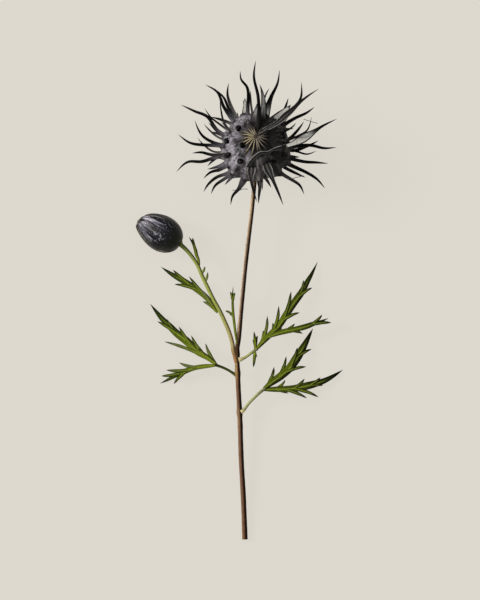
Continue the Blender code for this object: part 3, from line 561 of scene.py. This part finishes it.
def main_stem():
    y = STEM[:, 1]
    swelling = sum(rise * peak(y - at, NODE_LENGTH) for at, rise in STEM_NODES)
    taper = np.interp(y, (STEM_CUT[1], STEM_PLAN[-1][1]), (STEM_RADIUS, STEM_TOP_RADIUS))
    radius = (taper + swelling) * (1 + 0.02 * np.sin(y * 0.31) + 0.012 * np.sin(y * 1.3))
    keys = np.array([key for key, _ in STEM_TINTS], float)
    values = np.array([value for _, value in STEM_TINTS], float)

    def tint(share, turns, points):
        base = np.stack([np.interp(points[..., 1], keys, values[:, k]) for k in range(3)], axis=-1)
        # painted light and shade: the side towards the light takes the lit colour, most of all higher up, the
        # other the shaded colour
        left = np.clip(-points[..., 0] + STEM[:, 0][:, None], -1.2, 1.2) / 1.2
        base = mix(base, STEM_SHADED, 0.96 * ramp(-left, -0.2, 0.35))
        upper = ramp(points[..., 1], -29, -12)
        return mix(base, STEM_LIT, 0.85 * ramp(left, 0.3, 0.8) * (0.12 + 0.88 * upper))

    mesh = Mesh()
    tube(mesh, STEM, radius, tint, 24)
    for step, size, colour in CUT_FACE:
        face = STEM[0] - np.array([0, 0.05 + step, 0])
        tube(mesh, np.array([face, face - (0, 0.03, 0)]), np.full(2, size), colour, 20)
    mesh.piece("stem_looks", "main_stem", STEM_FINISH)


def bud_axis():
    return Vector((BUD_APEX[0] - BUD_BASE[0], BUD_APEX[1] - BUD_BASE[1], 0.0)).normalized()


def stalk_path(stations):
    root, middle, bud = STALK_HEIGHTS
    points = [tuple(stem_point(-30.5) + (-0.5, 0, 0.5)), tuple(stem_point(-27.8) + (-1.1, 0, 0.9))]
    for i, (x, y) in enumerate(STALK_PLAN):
        share = (i + 1) / len(STALK_PLAN)
        arch = 4 * share * (1 - share)
        points.append((x, y, root + (bud - root) * share + (middle - (root + bud) / 2) * arch))
    end = np.array([*BUD_BASE, BUD_HEIGHT]) + np.array(bud_axis()) * 0.6
    return smooth([*points, tuple(end)], stations)


STALK = stalk_path(200)


def side_stalk():
    share = np.linspace(0, 1, len(STALK))
    radius = STALK_RADIUS * (1 - 0.22 * share + 0.3 * share**14 - 0.1 * np.exp(-14 * share))

    def tint(shares, turns, points):
        root, low, high, top = STALK_LIT
        lit = mix(low, high, ramp(shares, 0.15, 0.5))
        lit = mix(lit, top, ramp(shares, 0.72, 0.95))
        lit = mix(root, lit, ramp(shares, 0.03, 0.16))
        root, middle, top = STALK_SHADED
        shaded = mix(root, middle, ramp(shares, 0.2, 0.45))
        shaded = mix(shaded, top, ramp(shares, 0.7, 0.9))
        return mix(lit, shaded, 0.95 * ramp(np.cos(turns), 0.0, 0.85))

    mesh = Mesh()
    tube(mesh, STALK, radius, tint, 18)
    for (x, y), (tip_x, tip_y) in STALK_TEETH:
        height = STALK[np.argmin(np.hypot(STALK[:, 0] - x, STALK[:, 1] - y))][2]
        path = smooth([(x, y, height), ((x + tip_x) / 2 + 0.3, (y + tip_y) / 2, height + 0.4),
                       (tip_x, tip_y, height + 0.6)], 16)
        blade(mesh, path, 0.62, lobe_taper, 0.0, random.Random(3))
    mesh.piece("stalk_looks", "side_stalk", STALK_FINISH)


# Leaves


def frond_taper(share):
    return (1 - share**4) * (1 - 0.68 * np.exp(-4.5 * share))


def lobe_taper(share):
    return 1 - share**5


def blade(mesh, path, half_width, taper, grey, draw, starts_at=0.0):
    """One pointed blade with a raised midrib, a shallow fold and thin edges.

    starts_at is the share of the frond that a lobe leaves at, as leaves darken towards their tips.
    """
    share = np.linspace(0, 1, len(path))
    across, out = frames(path, UP)
    wobble = 1 + 0.05 * np.sin(share * draw.uniform(9, 16) + draw.uniform(0, 6))
    wide = np.maximum(half_width * taper(share) * wobble, 0.03)[:, None]
    deep = LEAF_HALF_DEPTH * (1 - share**3)[:, None] + 0.02
    x = np.cos(np.linspace(0, math.pi, BLADE_COLUMNS))
    body = 0.34 + 0.66 * (1 - abs(x) ** 1.6)
    rib = peak(x * wide, RIB_HALF_WIDTH) * RIB_HEIGHT * (1 - share[:, None])
    fold = abs(x) * wide * FOLD_RISE
    top = deep * 0.72 * body + rib + fold
    bottom = -deep * 0.72 * body[::-1] - 0.6 * rib[:, ::-1] + fold[:, ::-1]
    side = np.concatenate([np.broadcast_to(x, top.shape), np.broadcast_to(x[::-1], top.shape)], axis=1)
    lift = np.concatenate([top, bottom], axis=1)
    points = path[:, None] + across[:, None] * (side * wide)[..., None] + out[:, None] * lift[..., None]
    points[..., 2] = np.maximum(points[..., 2], FLOOR)
    shares = np.broadcast_to(share[:, None], side.shape)
    shade = draw.uniform(-0.12, 0.18)
    outward = ramp(starts_at + shares * (1 - starts_at) + shade, 0.3, 1.1)
    green = mix(LAMINA, LAMINA_DARK, outward)
    veins = np.sin((shares * length_of(path) - abs(side) * wide * 1.6) * 4.2) ** 8
    veins = 0.35 * veins * (1 - ramp(abs(side), 0.5, 0.9)) * (1 - ramp(shares, 0.5, 0.9))
    green = mix(green, VEIN, veins)
    # the half that leans to the light is brighter than the other
    to_light = side * -across[:, :1]
    green = mix(green, green * 0.42, ramp(-to_light, 0.05, 0.6))
    green = mix(green, green * 1.25, ramp(to_light, 0.1, 0.6) * (1 - ramp(abs(side), 0.75, 1.0)))
    green = mix(green, green * 0.55, 0.6 * ramp(abs(side), 0.85, 1.0))
    green = mix(green, GREY_LEAF, grey * (0.35 + 0.4 * ramp(shares, 0.1, 0.8)))
    middle = peak(side * wide, 0.24) * (1 - ramp(shares, 0.6, 0.97))
    green = mix(green, MIDRIB, 0.75 * middle * (1 - 0.5 * grey))
    green = mix(green, LEAF_TIP, 0.8 * ramp(shares, 0.8, 1.0))
    grains = np.stack([side * wide, lift, shares * length_of(path)], axis=-1)
    mesh.rings(points, green, grains)


def drooped(plan, start, end):
    """A plan with heights that fall ever faster from start to end."""
    plan = np.array(plan, float)
    gone = gone_along(plan)
    height = start + (end - start) * (gone / gone[-1]) ** 1.5
    return np.column_stack([plan, height])


def lobe(mesh, draw, midrib, share, tip_plan, grey=0.0):
    """A side lobe, which leaves the midrib along it and bends to its tip."""
    place = share * (len(midrib) - 1)
    index = int(place)
    root = midrib[index] + (midrib[index + 1] - midrib[index]) * (place - index)
    along = unit(midrib[min(index + 4, len(midrib) - 1)] - midrib[max(index - 4, 0)])
    level = np.array([tip_plan[0] - root[0], tip_plan[1] - root[1], 0.0])
    length = float(np.linalg.norm(level))
    tip = root + level
    tip[2] = max(root[2] - 0.12 * length, LEAF_HALF_DEPTH + FLOOR)
    middle = root + level * 0.5 + along * LOBE_BEND * length
    middle[2] = (root[2] + tip[2]) / 2 + 0.1
    least, growth, most = LOBE_HALF_WIDTHS
    half_width = min(least + growth * length, most)
    blade(mesh, smooth([root - along * 0.8, middle, tip], 26), half_width, lobe_taper, grey, draw, share)


def petiole(mesh, path, radius, colour, root_colour, bulge):
    """The stalk of a leaf, wider where it grows out of the stem."""
    share = np.linspace(0, 1, len(path))
    gone = share * length_of(path)
    radius = radius + 0.5 * peak(gone, 1.9) + 0.12 * share**6
    path = path + UP * (bulge * peak(gone, 1.6))[:, None]

    def tint(shares, turns, points):
        base = mix(colour, np.array(colour) * 0.72, ramp(shares, 0.5, 1.0))
        # painted shade on one side of the petiole
        base = mix(base, base * 0.38, 0.9 * ramp(np.cos(turns), 0.1, 0.85))
        return mix(root_colour, base, ramp(shares * length_of(path), 1.2, 2.8))

    tube(mesh, path, radius, tint, 14, depth=radius * 0.9)


def leaf(name, fronds, draw):
    mesh = Mesh()
    for half_width, plan, start, end, lobes in fronds:
        midrib = smooth(drooped(plan, start, end), 60 if lobes else 36)
        if not lobes:
            petiole(mesh, midrib, half_width, *PETIOLES[name])
            continue
        first = len(mesh.tints)
        blade(mesh, midrib, half_width, frond_taper, 0.0, draw)
        for row in lobes:
            lobe(mesh, draw, midrib, *row)
        darkest = LEAF_SHADE.get(name, 1.0)
        for i in range(first, len(mesh.tints)):
            light = ramp(mesh.tints[i].mean(axis=1, keepdims=True), *SHADED_LEVELS)
            mesh.tints[i] = mesh.tints[i] * (darkest + (1 - darkest) * light)
    mesh.piece(name.replace("leaf", "looks_leaf", 1), name, LEAF_FINISH)


# Bud


def bud():
    """Six sepals folded over one another, open a little at the tip."""
    axis = bud_axis()
    base = np.array([*BUD_BASE, BUD_HEIGHT])
    length = math.dist(BUD_BASE, BUD_APEX)
    angle, turn = ball(150, 240)
    share = (1 + np.cos(angle)) / 2
    wander = 0.16 * np.sin(share * 5.0) + 0.06 * np.sin(turn * 3 + share * 7)
    phase = ((turn + wander) * SEPALS / math.tau + BUD_TURN) % 1.0
    power = BUD_BLUNTNESS - BUD_TIP_BLUNTNESS * share**8
    profile = np.maximum(np.sin(math.pi * share**BUD_SKEW), 0.0) ** power
    upward = peak(turn - math.pi / 2, 0.45)
    shows = 1 - upward * (1 - ramp(share, 0.4, 0.62))
    fold = (0.07 * phase**1.4 - 0.03) * shows
    seam = peak(np.minimum(phase, 1 - phase) * profile * 9.4, 0.25) * shows
    creases = rough_noise(around(turn, 3, share * 2.2), 1.0, 4)
    relief = 0.985 + fold * ramp(profile, 0.1, 0.7) + 0.015 * creases - 0.025 * seam
    radius = BUD_RADIUS * profile * relief
    # the tips of the sepals stand apart at the end, some longer than others
    apart = ramp(share, 0.8, 1.0)
    tips = np.sin(math.pi * phase) ** 0.45 * (0.8 + 0.35 * np.sin(turn + 0.6))
    along = share * length + apart * (2.4 * tips - 2.0)
    points = base + around(turn, radius, along) @ turn_to(axis).T
    points[..., 2] = np.maximum(points[..., 2], 0.0)
    near_tip = ramp(share, 0.3, 0.95)
    streak = rough_noise(around(turn, 8, share * 2.2), 1.0, 4, 7.0)
    wide_streak = rough_noise(around(turn, 2.6, share * 1.2), 1.0, 2, 3.0)
    flecks = rough_noise(points, 0.8, 2, 3.0)
    patches = rough_noise(points, 5.0, 2, 9.0)
    # streaks of bloom that are partly painted light, and painted highlights where they are palest
    lit = ramp(streak + 1.1 * near_tip + 0.9 * wide_streak - 0.5, 0.1, 0.8)
    pale = ramp(streak + 0.4 * near_tip + 0.5 * patches, 0.4, 0.7) * near_tip
    # painted highlights in flecks, thicker in patches
    fleck = ramp(flecks + 0.5 * patches, 0.3, 0.62) * ramp(share, 0.15, 0.4)
    # painted shade darkens the sides, with pale lines that run along them
    beside = abs(np.cos(turn))
    outer = peak(beside - 0.9 - 0.05 * np.sin(4 * share), 0.012) * ramp(share, 0.1, 0.3)
    inner = peak(beside - 0.8 + 0.06 * share, 0.016)
    lines = np.maximum(outer, 0.7 * inner * ramp(share, 0.4, 0.6))
    frayed = apart * ramp(share, 0.975, 0.995) * ramp(tips, 0.7, 1.0)
    # painted light in the bloom and highlights, painted shade on the sides and in the crease beside each seam
    colour = painted(
        BUD_TINTS["body"], BUD_TINTS, base=1 - ramp(share, 0.06, 0.42), bloom=lit * 0.75,
        pale=pale * 0.85, fleck=fleck * 0.6, side=0.92 * ramp(beside, 0.62, 0.92), line=lines * 0.8,
        seam=seam * 0.6, crease=peak(phase - 0.12, 0.06) * 0.8 * shows,
        tip=apart * ramp(share, 0.9, 0.97) * 0.85, frayed=frayed * 0.8)
    mesh = Mesh()
    mesh.rings(points, colour, around(turn, 3, along))
    # a small pale scale where the stalk ends
    path = smooth([base + (0.6, 0.4, 1.4), base + (0.4, 2.2, 2.6), base + (1.2, 3.6, 3.4)], 14)
    blade(mesh, path, 0.55, lobe_taper, 1.0, random.Random(5))
    mesh.piece("bud_looks", "bud", BUD_FINISH)


# Seed head


def bearing(heading, lift):
    """The direction with a heading and a lift, in degrees."""
    lift = np.radians(lift)
    return around(np.radians(heading), np.cos(lift), np.sin(lift))


def on_face(x, y, radius=HEAD_RADIUS):
    """The point from the centre that is over (x, y), at a radius."""
    return np.array([x, y, math.sqrt(max(radius**2 - x**2 - y**2, 1.0))])


def run_through(values, stations):
    """A smooth run through values at even steps."""
    values = np.array(values, float)
    ends = np.concatenate([[2 * values[0] - values[1]], values, [2 * values[-1] - values[-2]]])
    place = np.linspace(0, len(values) - 1, stations)
    index = np.minimum(place.astype(int), len(values) - 2)
    return between(*(ends[index + k] for k in range(4)), place - index)


def rim_spine(headings, reach, low, high, kind="spine", look="dark"):
    return headings, (low, high), reach / math.cos(math.radians(high)), kind, look


def rim_and_under_spines():
    """Every long spine as (headings, lifts, reach, kind, look)."""
    for row in RIM_SPINES:
        yield rim_spine(*row)
    # the first draws are those that stubs leans its spines by, and they are passed over here
    draw = random.Random(4)
    for _ in range(2 * len(FACE_SPINES)):
        draw.uniform(-FACE_LEAN, FACE_LEAN)
    first, last = (math.sin(math.radians(lift)) for lift in UNDER_LIFTS)
    for i in range(UNDER_SPINES):
        lift = math.degrees(math.asin(first + (last - first) * i / (UNDER_SPINES - 1)))
        heading = i * GOLDEN_ANGLE
        sway = draw.uniform(-12, 12)
        reach = UNDER_REACH * draw.uniform(0.9, 1.08)
        if Vector(bearing(heading, lift)).angle(NECK) < math.radians(NECK_CLEAR):
            continue
        headings = (heading, heading - sway / 3, heading + sway / 3, heading + sway)
        level = math.degrees(math.asin(min(HEAD[2] / reach, 1.0)))
        yield headings, (lift, max(lift, -level)), reach, "spine", "dark"


def leftness(direction):
    """1 on the side of the head that is painted as lit, partly a pale bloom, 0 on the side painted in shade.
    """
    toward = direction[..., 0] * -0.93 + direction[..., 1] * 0.1 + direction[..., 2] * 0.12
    return ramp(toward, 0.03, 0.5)


def spine(mesh, headings, lifts, reach, kind, look):
    """One long spine, from inside the globe to its tip."""
    stations = 46
    share = np.linspace(0, 1, stations)
    distance = SPINE_ROOT * HEAD_RADIUS * (1 - share) + reach * share
    path = HEAD + bearing(run_through(headings, stations), run_through(lifts, stations)) * distance[:, None]
    thorn(mesh, path, distance - HEAD_RADIUS, kind, look, UP)


def stubs(mesh):
    """The thick spines that stand up from the upper face and are seen from their tips."""
    draw = random.Random(4)
    for x, y in FACE_SPINES:
        root = on_face(x, y)
        lean = [draw.uniform(-FACE_LEAN, FACE_LEAN), draw.uniform(-FACE_LEAN, FACE_LEAN)]
        rise = np.array([*lean, FACE_LENGTH])
        path = HEAD + smooth([root * SPINE_ROOT, root, root + rise / 2, root + rise], 30)
        beyond = np.linalg.norm(path - HEAD, axis=1) - HEAD_RADIUS
        thorn(mesh, path, beyond, "stub", "stub", np.array([0.0, 1.0, 0.0]))


def thorn(mesh, path, beyond, kind, look, facing):
    """One spine on its path, channelled along its upper side unless it is dark or a stub."""
    stations, columns = len(path), 9
    flare, power, body, swelling, swells_at, flat = SPINE_KINDS[kind]
    share = np.linspace(0, 1, stations)
    swell = swelling * peak(share - swells_at, 0.16)
    wide = flare * (1 - share) ** power + body * (1 - share**5) + swell + 0.03
    deep = np.maximum(flat * wide, 0.8 * body * (1 - share**5)) + 0.02
    path = path.copy()
    path[:, 2] = np.maximum(path[:, 2], wide + FLOOR)
    across, out = frames(path, facing)
    x = np.cos(np.linspace(0, math.pi, columns + 2))
    round_top = np.sqrt(np.maximum(1 - x**2, 0))
    gutter = ramp(beyond, -1.0, 3.0) * (1 - ramp(share, 0.55, 0.9))
    gutter = (gutter * (look not in ("dark", "stub")))[:, None]
    top = round_top * (1 - gutter) + (0.75 * x**2 - 0.25) * gutter
    lift = np.concatenate([top, np.broadcast_to(-round_top[::-1][1:-1], (stations, columns))], axis=1)
    side = np.concatenate([x, x[::-1][1:-1]])
    points = (path[:, None] + across[:, None] * (side * wide[:, None])[..., None]
              + out[:, None] * (lift * deep[:, None])[..., None])
    shares, gone, sides = (np.broadcast_to(v, lift.shape) for v in (share[:, None], beyond[:, None], side))
    upper = np.concatenate([np.ones(columns + 2), np.zeros(columns)]) * np.ones(lift.shape)
    left = leftness(unit(path - HEAD))[:, None] * np.ones(lift.shape)
    # the root is painted light on the lit side, lighter still on one edge, and painted shade on the other
    # side
    root = mix(SHADE, mix(BLOOM, BLOOM_LIGHT, ramp(-sides, -0.2, 0.8) * 0.5), left * 0.9)
    begins, ends = (-0.6, 1.0) if look == "stub" else (1.0, 8.5 + 2.5 * left)
    colour = mix(root, SPINE_DARK, ramp(gone, begins, ends))
    # a faint light line down the side that faces the light
    to_light = -(across[:, :1] * sides + out[:, :1] * lift)
    colour = mix(colour, SPINE_SHEEN, 0.5 * ramp(to_light, 0.5, 0.95) * (1 - ramp(shares, 0.5, 0.85)))
    if look == "stub":
        glint = ramp(to_light, 0.8, 1.0) * ramp(shares, 0.7, 0.85) * (1 - ramp(shares, 0.94, 0.99))
        colour = mix(colour, GLINT, 0.5 * glint)
    inner = (1 - ramp(abs(sides), 0.6, 0.8)) * upper
    if look == "pale":
        membrane, fades = (LENS_MEMBRANE, (0.52, 0.7)) if kind == "lens" else (MEMBRANE, (0.82, 0.97))
        colour = mix(colour, membrane, inner * ramp(gone, 0, 3) * (1 - ramp(shares, *fades)))
    if look == "grey":
        lines = 1 - 0.45 * ramp(np.sin(sides * 9 + shares * 5), 0.3, 0.9)
        grey = inner * 0.85 * lines * ramp(gone, 0.5, 6) * (1 - ramp(shares, 0.7, 0.95))
        colour = mix(colour, GREY_MEMBRANE, grey)
    if look == "half":
        colour = mix(colour, GREY_MEMBRANE, inner * 0.7 * (1 - ramp(shares, 0.2, 0.45)))
    if look == "edged":
        rim = ramp(abs(sides), 0.72, 0.92) * upper * (1 - ramp(shares, 0.5, 0.8))
        middle = inner * (1 - ramp(abs(sides), 0.12, 0.3)) * (1 - ramp(shares, 0.4, 0.7))
        colour = mix(mix(colour, BRACT_INSIDE, inner * 0.8), BRACT_RIM, rim * 0.9)
        colour = mix(colour, BRACT_MIDDLE, middle)
    if look == "ash":
        colour = mix(colour, ASH, 0.7 * (1 - ramp(shares, 0.4, 0.9)))
    colour = mix(colour, SPINE_TIP, ramp(shares, 0.86, 1.0))
    grains = np.stack([sides * wide[:, None], lift * deep[:, None], gone], axis=-1)
    mesh.rings(points, colour, grains)


def globe(mesh, roots):
    """The core: folds that run out from the pole to each spine, and a mound with a pale collar round it, the
    collar partly painted light and shown on the lit side only.
    """
    angle, turn = ball(170, 260)
    out = np.sin(angle) * (1 + 0.03 * np.cos(9 * turn) * np.sin(angle) ** 4)
    core = around(turn, out, np.cos(angle)) @ turn_to(APEX).T
    direction = unit(core)
    degrees = np.degrees(angle)
    pole = np.array(APEX)
    mound, ridge, collar, pit = (np.zeros(angle.shape) for _ in range(4))
    for root, kind in roots:
        away = np.arccos(np.clip(direction @ root, -1, 1)) * HEAD_RADIUS
        ring = {"fine": 1.3, "spine": 1.7, "stub": 1.9}.get(kind, 2.2)
        height = 0.3 if kind == "stub" else 1.0
        mound = np.maximum(mound, peak(away, ring * 1.4, 1.6) * height)
        collar = np.maximum(collar, peak(away - ring, 0.5))
        # painted shade in a pit round each spine root
        pit = np.maximum(pit, peak(away, ring * 0.78, 4))
        normal = np.cross(pole, root)
        if np.linalg.norm(normal) < 0.05:
            continue
        aside = abs(direction @ unit(normal)) * HEAD_RADIUS
        ahead = direction @ unit(np.cross(unit(normal), pole))
        reach = math.degrees(math.acos(max(-1.0, min(1.0, float(pole @ root)))))
        along = ramp(degrees, 24, 50) * (1 - ramp(degrees, reach, reach + 12)) * (ahead > 0)
        ridge = np.maximum(ridge, peak(aside, 1.0) * along)
    outward = around(turn, 9, degrees * 0.13)
    folds = rough_noise(outward, 2.6, 4, 5.0)
    wrinkles = 0.35 * rough_noise(direction * HEAD_RADIUS, 4.5, 3) + 0.75 * folds
    fine = rough_noise(direction * HEAD_RADIUS, 1.1, 3, 11.0)
    quiet = ramp(degrees, 14, 40)
    raised = 2.2 * mound * quiet + 0.7 * ridge + quiet * (0.45 * wrinkles + 0.08 * fine)
    points = HEAD + core * HEAD_RADIUS + direction * (raised - 0.35)[..., None]
    left = leftness(direction)
    # painted highlights on the ridges, mounds and folds of the lit side
    bright = ramp(ridge + 0.6 * mound + 0.4 * fine + 0.7 * wrinkles, 0.42, 1.1)
    # painted shade darkens the lit side towards its rim; the shaded side goes black in its hollows, with
    # faint painted highlights on its ridges
    rim = 1 - ramp(direction[..., 2], 0.3, 0.8)
    # fine pale lines and dark creases run out from the star
    line = peak(rough_noise(outward, 3.4, 2, 13.0), 0.035) * quiet
    crease = peak(rough_noise(outward, 3.0, 2, 21.0), 0.05) * quiet
    # painted shade in the hollows, away from ridges and mounds
    hollow = ramp(-wrinkles - 0.8 * ridge - mound, 0.15, 0.7)
    # grey folds run down from the star over the middle of the face, with painted shade in the hollows between
    # them
    strands = ramp(np.sin(turn * 17 + 2.4 * wrinkles), 0.2, 0.9) * ramp(degrees, 26, 40)
    middle = peak(direction[..., 0] - 0.1, 0.22) * ramp(-direction[..., 1], 0.05, 0.3)
    middle = middle * ramp(direction[..., 2], 0.15, 0.45)
    # the lines and the pole take paler tints on the lit side, as painted light
    tints = {**HEAD_TINTS, "bloom": BLOOM, "light": BLOOM_LIGHT, "line": mix(*LINE_TINTS, left),
             "pole": mix(*POLE_TINTS, left)}
    colour = painted(
        SHADE, tints, bloom=left * (0.68 + 1.2 * wrinkles), light=left * bright * 0.85,
        rim=left * rim * (0.62 - 0.4 * ridge), black=(1 - left) * 0.75 * ramp(-wrinkles, 0.0, 0.35),
        ridge=(1 - left) * ramp(ridge + 0.5 * fine, 0.65, 1.1) * 0.55,
        collar=collar * 0.5 * left * quiet, crease=0.6 * crease * (1 - line), line=0.55 * line,
        pit=pit * 0.9, hollow=0.7 * hollow * (1 - 0.5 * left), pole=0.85 * (1 - ramp(degrees, 10, 34)),
        strand=0.8 * middle * (0.5 + 0.5 * strands), between=0.7 * middle * ramp(-wrinkles, 0.05, 0.4))
    mesh.rings(points, colour, around(turn, 4, degrees * 0.4))


def seed_head():
    """The globe with its neck, and all the spines, ribbons and threads as one more piece."""
    spines = list(rim_and_under_spines())
    roots = [(bearing(row[0][0], row[1][0]), row[3]) for row in spines]
    roots += [(unit(on_face(x, y)), "stub") for x, y in FACE_SPINES]
    core = Mesh()
    globe(core, roots)
    steps = np.linspace(-2.5, NECK_LENGTH, 20)
    path = HEAD + np.array(NECK) * (HEAD_RADIUS + steps)[:, None]
    flare = 1 - (steps + 2.5) / (NECK_LENGTH + 2.5)
    neck = mix(*NECK_TINTS, flare)[:, None] * np.ones((1, 18, 1))
    tube(core, path, STEM_TOP_RADIUS + 0.12 + 1.4 * flare**2, lambda s, t, p: neck, 18)
    core.piece("head_looks", "seed_head", HEAD_FINISH)
    thorns = Mesh()
    for row in spines:
        spine(thorns, *row)
    stubs(thorns)
    for plan, half_width, colour in RIBBONS:
        path = HEAD + smooth([on_face(x, y, HEAD_RADIUS + 1.3) for x, y in plan], 50)
        share = np.linspace(0, 1, len(path))
        wide = half_width * (0.7 + 0.45 * np.sin(share * math.pi))

        def tint(shares, turns, points, colour=colour):
            body = mix(BRACT_INSIDE, colour, ramp(abs(np.cos(turns)), 0.45, 0.8))
            return mix(body, RIBBON_EDGE, 0.8 * ramp(np.cos(turns), 0.8, 1.0))

        tube(thorns, path, wide, tint, 12, depth=wide * 1.3)
    for points in THREADS:
        path = HEAD + smooth(points, 30)
        tube(thorns, path, np.full(len(path), THREAD_RADIUS), THREAD, 6)
    thorns.piece("spine_looks", None, SPINE_FINISH)


def ray_star():
    """Fine rays that lie over the pole and reach further towards the stem, with a hub on them."""
    draw = random.Random(7)
    turn_frame = turn_to(APEX)
    mesh = Mesh()

    def on_head(turn, distance):
        """The direction from the centre of the head that is at a distance from its pole."""
        angle = distance / HEAD_RADIUS
        return around(turn, np.sin(angle), np.cos(angle)) @ turn_frame.T

    for i in range(RAYS):
        turn = math.tau * (i + draw.uniform(-0.2, 0.2)) / RAYS
        way = unit(on_head(turn, 6.0) - on_head(turn, 0.1))
        up, down, right = max(0.0, way[1]), max(0.0, -way[1]), max(0.0, way[0])
        reach = draw.uniform(6.6, 8.8) + 2.2 * down - 1.0 * right - 1.6 * up
        distance = np.linspace(0.5, reach, RAY_STATIONS)
        share = np.linspace(0, 1, RAY_STATIONS)
        bent = turn + 0.05 * draw.uniform(-1, 1) * share + 0.02 * np.sin(share * 9 + i)
        height = HEAD_RADIUS + 0.35 + 0.35 * (1 - share) + 0.1 * np.sin(share * 3)
        path = HEAD + on_head(bent, distance) * height[:, None]
        wide = (0.44 - 0.14 * share) * (0.4 + 0.6 * ramp(share, 0.0, 0.4)) * draw.uniform(0.8, 1.15)
        # rays on the lit side take the paler tints, as painted light
        left = ramp(-way[0], -0.5, 0.6) * (1 - 0.6 * ramp(way[1], 0.2, 0.8))
        inner = mix(*RAY_INNER, left)
        outer = mix(*RAY_OUTER, left)

        def tint(shares, turns, points, inner=inner, outer=outer):
            body = mix(inner, outer, ramp(shares, 0.45, 1.0))
            return mix(body, RAY_EDGE, 0.9 * ramp(abs(np.cos(turns)), 0.5, 0.9))

        tube(mesh, path, wide, tint, 12, facing=np.array(APEX))
    turn = np.linspace(0, math.tau, 30, endpoint=False)
    angle = np.linspace(math.pi * 0.98, 0.02, 12)[:, None]
    ripple = 1 + 0.16 * np.cos(5 * turn)
    width = HUB_RADIUS * np.sin(angle)
    local = np.stack([width * np.cos(turn) * ripple, width * np.sin(turn) * ripple,
                      HUB_HEIGHT * np.cos(angle) + 0 * turn], axis=-1)
    points = HEAD + np.array(APEX) * (HEAD_RADIUS + 0.75) + local @ turn_frame.T
    mesh.rings(points, np.array(HUB, float), local)
    mesh.piece("ray_looks", "ray_star", RAY_FINISH)


# Floor, lights and camera


def stage():
    """The paper that the sprig lies on, a pale sky, two suns, and the camera straight above."""
    bpy.ops.mesh.primitive_plane_add(size=8.0, location=(0, 0, -0.0003))
    floor = bpy.context.object
    floor.name = "floor"
    made = bpy.data.materials.new("paper")
    made.use_nodes = True
    nodes, links = made.node_tree.nodes, made.node_tree.links
    shader = nodes["Principled BSDF"]
    settle(shader, Base_Color=(*linear(PAPER), 1.0), Roughness=0.9, Specular_IOR_Level=0.0)
    glow = nodes.new("ShaderNodeEmission")
    settle(glow, Color=(*linear(PAPER_GLOW), 1.0))
    both = nodes.new("ShaderNodeMixShader")
    settle(both, Fac=GLOW_SHARE)
    links.new(shader.outputs["BSDF"], both.inputs[1])
    links.new(glow.outputs["Emission"], both.inputs[2])
    links.new(both.outputs["Shader"], nodes["Material Output"].inputs["Surface"])
    floor.data.materials.append(made)

    world = bpy.data.worlds.new("studio")
    bpy.context.scene.world = world
    world.use_nodes = True
    settle(world.node_tree.nodes["Background"], Color=SKY, Strength=SKY_STRENGTH)

    for name, direction, strength, width, colour in SUNS:
        light = bpy.data.lights.new(name, "SUN")
        light.energy = strength
        light.angle = math.radians(width)
        light.color = colour
        turned = (-Vector(direction)).to_track_quat("-Z", "Y")
        placed(name, light).rotation_euler = turned.to_euler()

    camera = bpy.data.cameras.new("camera")
    camera.lens = LENS
    camera.sensor_width = SENSOR
    camera.clip_end = 100.0
    eye = placed("camera", camera)
    eye.location = (0.0, CAMERA_Y, TRUE_LEVEL + PICTURE_HEIGHT * LENS / SENSOR)
    bpy.context.scene.camera = eye
    bpy.context.scene.view_settings.view_transform = "Standard"


main_stem()
side_stalk()
bud()
seed_head()
ray_star()
leaf_draw = random.Random(21)
for leaf_name, leaf_fronds in LEAVES.items():
    leaf(leaf_name, leaf_fronds, leaf_draw)
stage()
